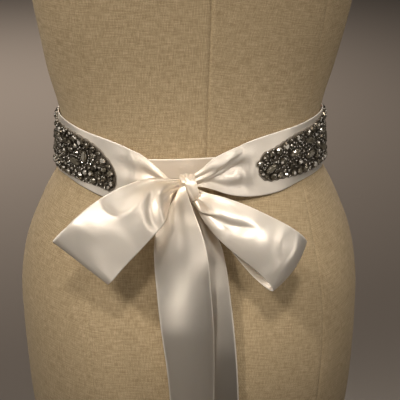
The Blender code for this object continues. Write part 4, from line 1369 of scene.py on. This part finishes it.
FILLING_ROUNDS = (  # stone radius, and how far apart places are tried
    (0.0030, 0.0030),
    (MIDDLE_STONE, 0.0022),
    (0.0015, 0.0016),
    (SMALL_STONE, 0.0013),
)
FILLING_HEIGHTS = (-0.016, 0.040)
NEARLY_ROUND = (0.85, 1.0)


def filling_stones(plan, chance):
    """Rounds of falling size in what room is left."""
    low, high = FILLING_HEIGHTS
    for radius, pitch in FILLING_ROUNDS:
        for number in range(int((plan.last - plan.first) / pitch)):
            length, up = plan.first + pitch * number, low
            while up < high:
                plan.add(
                    length + chance.uniform(-0.5, 0.5) * pitch,
                    up + chance.uniform(-0.5, 0.5) * pitch,
                    chance.uniform(0, 1),
                    radius,
                    radius * chance.uniform(*NEARLY_ROUND),
                )
                up += pitch


def add_cone(mesh, sides, foot, top, depth, middle=0.0):
    """A cut cone standing on end with its middle at a height; gives its corners."""
    corners = bmesh.ops.create_cone(
        mesh, cap_ends=True, segments=sides, radius1=foot, radius2=top, depth=depth
    )["verts"]
    bmesh.ops.translate(mesh, verts=corners, vec=(0, 0, middle))
    return corners


def turn_corners(mesh, corners, angle, axis):
    turn = Matrix.Rotation(angle, 3, axis)
    bmesh.ops.rotate(mesh, cent=(0, 0, 0), matrix=turn, verts=corners)


def inset_top(mesh, thickness, depth):
    top = max(mesh.faces, key=lambda face: face.calc_center_median().z)
    bmesh.ops.inset_region(mesh, faces=[top], thickness=thickness, depth=depth)


def cut_stone(sides, table_radius, height):
    """A faceted stone one unit in radius, flat underneath, with a smaller turned table."""
    mesh = bmesh.new()
    add_cone(mesh, sides, 1.0, table_radius, height, height / 2)
    crown = [corner for corner in mesh.verts if corner.co.z > height / 2]
    turn_corners(mesh, crown, math.pi / sides, "Z")
    walls = [face for face in mesh.faces if len(face.verts) == 4]
    bmesh.ops.triangulate(mesh, faces=walls)
    return mesh_data("cut stone", mesh)


def domed_stone(sides, rim_radius=0.86, rim_height=0.22):
    """A smooth low dome one unit in radius, flat underneath."""
    mesh = bmesh.new()
    add_cone(mesh, sides, 1.0, rim_radius, rim_height, rim_height / 2)
    inset_top(mesh, thickness=0.30, depth=0.20)
    return mesh_data("domed stone", mesh)


CUP_DEPTH = 0.55
PRONG_LEAN = math.radians(-38)
PRONG_PLACE = (1.0, 0, 0.62)


def claw_setting(sides, prongs):
    """A dark metal cup one unit in inner radius, with prongs that reach over the stone."""
    mesh = bmesh.new()
    add_cone(mesh, sides, 1.16, 1.08, CUP_DEPTH, CUP_DEPTH / 2)
    inset_top(mesh, thickness=0.16, depth=-0.12)
    for number in range(prongs):
        prong = add_cone(mesh, 4, 0.15, 0.07, 0.5)
        turn_corners(mesh, prong, PRONG_LEAN, "Y")
        bmesh.ops.translate(mesh, verts=prong, vec=PRONG_PLACE)
        turn_corners(mesh, prong, 2 * math.pi * (number + 0.5) / prongs, "Z")
    return mesh_data("claw setting", mesh)


PAINTED_GLINT_TONE = 0.95  # of a facet painted near white, a painted glint
FACET_TONES = (0.5, 1.4)  # times the stone's own tone


def strew(name, patterns, places, material):
    """Copies of patterns at places, each (pattern number, matrix, tone, sparkle), as one piece."""
    chance = random.Random(name)
    mesh = bmesh.new()
    facet_tone_and_glint = mesh.faces.layers.float.new("facet_tone_and_glint")
    for number, matrix, tone, glint_share in places:
        corners, faces = len(mesh.verts), len(mesh.faces)
        mesh.from_mesh(patterns[number])
        mesh.verts.ensure_lookup_table()
        mesh.faces.ensure_lookup_table()
        for corner in mesh.verts[corners:]:
            corner.co = matrix @ corner.co
        for face in mesh.faces[faces:]:
            # painted glints: a share of the facets is painted near white; the rest take the stone's own
            # tone
            painted_glint = chance.random() < glint_share
            face[facet_tone_and_glint] = min(PAINTED_GLINT_TONE if painted_glint else tone * chance.uniform(*FACET_TONES), 1)
    return finish_mesh(name, mesh, material, slot="stones", smooth=False)


LARGE_CUT, OVAL_DOME, SMALL_CUT = range(3)  # stone patterns
CLAWED_CUP, PLAIN_CUP = range(2)  # setting patterns
LARGE_FROM = 0.0023  # half width
OVAL_FROM = 1.3  # length over width
TILT = 0.16  # most lean of a stone in its setting, in radians
LARGE_RISE, SMALL_RISE, RISE_RANGE = 0.0016, 0.0009, 0.0004  # of stones over the net
STONE_SHARE, STONE_DEPTH = 0.86, 0.80  # of a place's half sizes, and of its half width
CUP_SHARE, CUP_OVER = 0.88, 0.45
OVAL_TONES = (0.42, 0.52)
ROUND_TONES = (0.15, 0.3, 0.4, 0.6)
LARGE_PAINTED_GLINTS, SMALL_PAINTED_GLINTS = 0.22, 0.30  # share of the facets painted as glints


def set_stone(face, chance, length, up, turn, long, wide):
    """The stone and the cup for one place of the plan, as strew takes them."""
    place = face.frame(length, up) @ Matrix.Rotation(turn, 4, "Z")
    tilt = Matrix.Rotation(chance.uniform(-TILT, TILT), 4, "X")
    tilt @= Matrix.Rotation(chance.uniform(-TILT, TILT), 4, "Y")
    large, oval = wide > LARGE_FROM, long > wide * OVAL_FROM
    rise = (LARGE_RISE if large else SMALL_RISE) + chance.uniform(0, RISE_RANGE)
    size = Matrix.Diagonal((long * STONE_SHARE, wide * STONE_SHARE, wide * STONE_DEPTH, 1))
    cup_size = Matrix.Diagonal((long * CUP_SHARE, wide * CUP_SHARE, rise + wide * CUP_OVER, 1))
    if oval:
        kind, tone, glint_share = OVAL_DOME, chance.uniform(*OVAL_TONES), 0.0
    else:
        kind, tone = LARGE_CUT if large else SMALL_CUT, chance.choice(ROUND_TONES)
        glint_share = LARGE_PAINTED_GLINTS if large else SMALL_PAINTED_GLINTS
    lift = Matrix.Translation((0, 0, NET_OUT + rise))
    base = Matrix.Translation((0, 0, NET_OUT))
    cup = CLAWED_CUP if large else PLAIN_CUP
    return (
        (kind, place @ lift @ tilt @ size, tone, glint_share),
        (cup, place @ base @ cup_size, chance.random(), 0),
    )


NetStretch = namedtuple("NetStretch", "side start end columns tall")
NETS = table(
    NetStretch,
    ("right", APPLIQUE_START, SIDE_ANGLE, 120, 0.040),
    ("front", SIDE_ANGLE, 360 - SIDE_ANGLE, 300, 0.0525),
    ("left", 360 - SIDE_ANGLE, APPLIQUE_END, 120, 0.042),
)
NET_ROWS_ACROSS = 24
NET_THICK = 0.0002
NET_SHADED = NET_RIM + 0.0008  # from the edge to where the net is painted fully dark, as painted shade of the stones
SCALLOP, SCALLOP_EVERY = 0.0004, 3.4  # its depth in metres and its pitch in degrees
WEAVE_PER_DEGREE = 0.0021


def applique(face):
    """The net, settings and stones, in three stretches."""
    plan, chance = StonePlan(face), random.Random(11)
    border_stones(plan, chance)
    spray_stones(plan, chance)
    filling_stones(plan, chance)
    laid = [[] for _ in NETS]
    for stone in plan.stones:
        degrees = face.degrees_at(stone[0])
        laid[sum(degrees >= net.end for net in NETS[:-1])].append(stone)
    stones = [
        cut_stone(sides=8, table_radius=0.56, height=0.55),
        domed_stone(sides=12),
        cut_stone(sides=6, table_radius=0.5, height=0.6),
    ]
    settings = [claw_setting(sides=10, prongs=4), claw_setting(sides=8, prongs=0)]
    chance = random.Random(5)
    for net, places in zip(NETS, laid):
        cuts, cups = zip(*[set_stone(face, chance, *place) for place in places])
        sewn_on = [
            strew(f"applique_{net.side}_stones", stones, cuts, STONE),
            strew(f"applique_{net.side}_settings", settings, cups, SETTING),
        ]
        net_of(net, face)


def net_of(net, face):
    """The net of one stretch, with a fine scallop along both edges."""

    def place(along, over):
        degrees = net.start + (net.end - net.start) * along
        row = applique_row(degrees)
        scallop = SCALLOP * math.cos(degrees * 2 * math.pi / SCALLOP_EVERY)
        across = 2 * over - 1
        up = (row.top + row.bottom) / 2 + across * ((row.top - row.bottom) / 2 + scallop)
        return face.point(degrees, up, NET_OUT / 2), (degrees * WEAVE_PER_DEGREE, up)

    mesh = cloth_grid(net.columns, NET_ROWS_ACROSS, place)
    inner, weave = mesh.verts.layers.float.new("inner"), mesh.loops.layers.uv["weave"]
    # painted shade of the stones: the inner share darkens the net from its rim inwards
    for patch in mesh.faces:
        for corner in patch.loops:
            degrees, up = corner[weave].uv.x / WEAVE_PER_DEGREE, corner[weave].uv.y
            row = applique_row(degrees)
            margin = min(row.top - up, up - row.bottom) / NET_SHADED
            corner.vert[inner] = min(max(margin, 0), 1) ** 3
    turn_outwards(mesh)
    node = f"applique_{net.side}"
    made = thicken(finish_mesh(f"{node}_net", mesh, NET, node, slot="stones"), NET_THICK)


# ---------------------------------------------------------------- stand and cap
SHARP_FROM = math.radians(35)
MOST_EASED = 0.45  # of a side, by each of its corners


def turned(name, node, profile, material, slot, segments=96):
    """A body turned round the Z axis from a profile that runs from its top down its side."""
    mesh = bmesh.new()
    corners = [mesh.verts.new((radius, 0, height)) for radius, height in profile]
    edges = [mesh.edges.new(pair) for pair in zip(corners, corners[1:])]
    bmesh.ops.spin(
        mesh,
        geom=corners + edges,
        cent=(0, 0, 0),
        axis=(0, 0, 1),
        angle=2 * math.pi,
        steps=segments,
        use_merge=True,
    )
    bmesh.ops.remove_doubles(mesh, verts=mesh.verts[:], dist=MERGED)
    mesh.normal_update()
    bmesh.ops.recalc_face_normals(mesh, faces=mesh.faces[:])
    made = finish_mesh(name, mesh, material, node, slot=slot)
    made.data.set_sharp_from_angle(angle=SHARP_FROM)
    return made


def rounded(profile, radius=0.0012, steps=3):
    """The profile with its corners eased."""
    eased = [profile[0]]
    for before, here, after in zip(profile, profile[1:], profile[2:]):
        corner = Vector(here)
        back, on = Vector(before) - corner, Vector(after) - corner
        reach = min(radius, back.length * MOST_EASED, on.length * MOST_EASED)
        start, end = corner + back.normalized() * reach, corner + on.normalized() * reach
        for step in range(steps + 1):
            share = step / steps
            point = start.lerp(corner, share).lerp(corner.lerp(end, share), share)
            eased.append((max(point.x, 0.0), point.y))
    eased.append(profile[-1])
    return eased


BASE_TOP = 0.020
HUB_TOP = 0.060
FLANGE_TOP = WAIST_HEIGHT + FORM_ROWS[0].height - SEAM_GAP
FLANGE_BOTTOM = FLANGE_TOP - 0.030
CAP_BOTTOM = WAIST_HEIGHT + FORM_ROWS[-1].height + SEAM_GAP
BASE_PROFILE = [
    (0, BASE_TOP),
    (0.120, 0.018),
    (0.214, 0.012),
    (0.220, 0.007),
    (0.220, 0.002),
    (0.218, 0),
    (0, 0),
]
HUB_PROFILE = [
    (0, HUB_TOP),
    (0.027, HUB_TOP),
    (0.030, HUB_TOP - 0.003),
    (0.036, BASE_TOP + SEAM_GAP),
    (0, BASE_TOP + SEAM_GAP),
]
FLANGE_PROFILE = [
    (0, FLANGE_TOP),
    (0.062, FLANGE_TOP),
    (0.062, FLANGE_TOP - 0.006),
    (0.022, FLANGE_TOP - 0.011),
    (0.021, FLANGE_BOTTOM),
    (0, FLANGE_BOTTOM),
]
POLE_PROFILE = [
    (0, FLANGE_BOTTOM - SEAM_GAP),
    (0.016, FLANGE_BOTTOM - SEAM_GAP),
    (0.016, HUB_TOP + SEAM_GAP),
    (0, HUB_TOP + SEAM_GAP),
]
CAP_PROFILE = [
    (0, CAP_BOTTOM + 0.030),
    (0.014, CAP_BOTTOM + 0.029),
    (0.030, CAP_BOTTOM + 0.024),
    (0.045, CAP_BOTTOM + 0.014),
    (0.052, CAP_BOTTOM + 0.006),
    (0.0535, CAP_BOTTOM + 0.003),
    (0.0525, CAP_BOTTOM),
    (0, CAP_BOTTOM),
]


def stand():
    turned("base_casting", "stand_base", rounded(BASE_PROFILE, 0.003), IRON, "base", 128)
    turned("hub", "stand_hub", rounded(HUB_PROFILE, 0.002), IRON, "base")
    turned("pole", "stand_pole", rounded(POLE_PROFILE), IRON, "stand", 64)
    turned("flange", "stand_flange", rounded(FLANGE_PROFILE), IRON, "stand")
    turned("neck_cap", "form_neck_cap", rounded(CAP_PROFILE, 0.0025), WOOD, "cap")


# ---------------------------------------------------------------- putting it together
SIDE_RADIUS = 0.12  # of the waist, where the sash's stretches meet
Stretch = namedtuple("Stretch", "name node start end columns")
HALF_SEAM = math.degrees(SEAM_GAP / SIDE_RADIUS) / 2
STRETCHES = table(
    Stretch,
    ("band_left", "sash_band_left", -1, -SIDE_ANGLE + HALF_SEAM, 130),
    ("band_right", "sash_band_right", 1, SIDE_ANGLE - HALF_SEAM, 130),
    ("band_front", "sash_band_front", SIDE_ANGLE + HALF_SEAM, 270 - HALF_SEAM, 160),
)


def whole_object():
    stand()
    linen = linen_form()
    for stretch in STRETCHES:
        made, length = sash_stretch(*stretch)
    under = flat_under_pass()
    for name, node, shape, satin in (
        ("loop_left", "sash_loop_left", LOOP_LEFT, SATIN_LEFT_LOOP),
        ("loop_right", "sash_loop_right", LOOP_RIGHT, SATIN_RIGHT_LOOP),
        ("tail_front", "sash_tail_front", TAIL_FRONT, SATIN_TAILS),
        ("tail_rear", "sash_tail_rear", TAIL_REAR, SATIN_REAR_TAIL),
    ):
        made, length = bow_cloth(name, node, shape, satin)
    wrap, length = bow_cloth(
        "knot_wrap", "sash_knot", KNOT_WRAP, SATIN_KNOT, KNOT_ROWS, KNOT_CRUMPLE
    )
    applique(SashFace())


LAMP_DISTANCE = 2.2
LAMP_CENTRE_OUT = 0.09
WARM = (1.0, 0.915, 0.82)
# Lamps round the bow, in metres, watts and degrees: the azimuth counts from straight out of the
# bow towards its right, and the aim is a place in the bow's own frame.
BowLamp = namedtuple("BowLamp", "name azimuth elevation size power spread aim")
BOW_LAMPS = table(
    BowLamp,
    ("key", -40, 45, 0.3, 0.40, 21, (-0.04, 0.09, 0.01)),
    ("high back", 0, 50, 0.3, 0.16, 12, (0.03, 0.09, 0.0)),
    ("left side", -70, 12, 0.5, 0.16, 24, (-0.05, 0.09, 0.0)),
    ("right side", 52, 42, 0.4, 0.10, 14, (0.06, 0.09, 0.0)),
    ("low right", 62, 6, 0.5, 0.14, 24, (0.02, 0.09, 0.0)),
    ("front fill", 20, 3, 0.4, 0.024, 16, (0.0, 0.09, -0.06)),
    ("low fill", -10, -5, 0.1, 0.0052, 5, (-0.022, 0.13, -0.108)),
    ("wearer's left", -158, 30, 1.2, 2.4, 70, (0.0, 0.0, -0.1)),
    ("wearer's right", 158, 30, 1.2, 2.4, 70, (0.0, 0.0, -0.1)),
)
BACKDROP_LAMP = (-1.2, -4, 1.6)
BACKDROP_AIM = (-1.2, -4, -1)
BACKDROP_COLOUR = (1.0, 0.84, 0.72)
BACKDROP_SIZE, BACKDROP_SPREAD, BACKDROP_POWER = 3, 180, 47
FLOOR_HALF = 14
FLOOR_DROP = 0.0005
FLOOR_COLOUR = (0.62, 0.58, 0.53)
STUDIO_COLOUR = (0.80, 0.76, 0.72, 1)
STUDIO_STRENGTH = 0.015


def point_at(holder, place, towards):
    """Sets a lamp or a camera down at a place, looking along a direction."""
    holder.location = place
    holder.rotation_euler = towards.to_track_quat("-Z", "Y").to_euler()


def add_lamp(name, place, aim, size, spread, power, colour):
    light = bpy.data.lights.new(name, "AREA")
    light.shape = "DISK"
    light.size = size
    light.spread = math.radians(spread)
    light.energy = power
    light.color = colour
    point_at(new_object(name, light), place, aim - place)


def floor_and_light():
    mesh = bmesh.new()
    bmesh.ops.create_grid(mesh, x_segments=1, y_segments=1, size=FLOOR_HALF)
    data = mesh_data("floor", mesh)
    floor = new_object("floor", data)
    floor.location.z = -FLOOR_DROP
    made, bench, shader = new_material("pale floor")
    bench.fill(shader, Base_Color=FLOOR_COLOUR, Roughness=0.8)
    data.materials.append(made)
    for lamp in BOW_LAMPS:
        around, over = math.radians(lamp.azimuth), math.radians(lamp.elevation)
        place = bow_point(
            LAMP_DISTANCE * math.sin(around) * math.cos(over),
            LAMP_CENTRE_OUT + LAMP_DISTANCE * math.cos(around) * math.cos(over),
            LAMP_DISTANCE * math.sin(over),
        )
        aim = bow_point(*lamp.aim)
        add_lamp(lamp.name, place, aim, lamp.size, lamp.spread, lamp.power, WARM)
    place, aim = bow_point(*BACKDROP_LAMP), bow_point(*BACKDROP_AIM)
    size, spread, power = BACKDROP_SIZE, BACKDROP_SPREAD, BACKDROP_POWER
    add_lamp("backdrop", place, aim, size, spread, power, BACKDROP_COLOUR)
    world = bpy.data.worlds.new("studio")
    world.use_nodes = True
    background = world.node_tree.nodes["Background"]
    background.inputs["Color"].default_value = STUDIO_COLOUR
    background.inputs["Strength"].default_value = STUDIO_STRENGTH
    bpy.context.scene.world = world
    bpy.context.scene.view_settings.view_transform = "Standard"


SENSOR_WIDTH = 36
FOCAL_SHARE = 930 / 400  # focal length over sensor width
CAMERA_PLACE = (0.010, 0.8159, 0.2717)
CAMERA_DROP = math.radians(22)


def camera():
    lens = bpy.data.cameras.new("view of the bow")
    lens.sensor_width = SENSOR_WIDTH
    lens.lens = FOCAL_SHARE * SENSOR_WIDTH
    lens.clip_start = 0.01
    holder = new_object("view of the bow", lens)
    look = bow_point(0, -math.cos(CAMERA_DROP), -math.sin(CAMERA_DROP)) - bow_point(0, 0, 0)
    point_at(holder, bow_point(*CAMERA_PLACE), look)
    bpy.context.scene.camera = holder


whole_object()
floor_and_light()
camera()
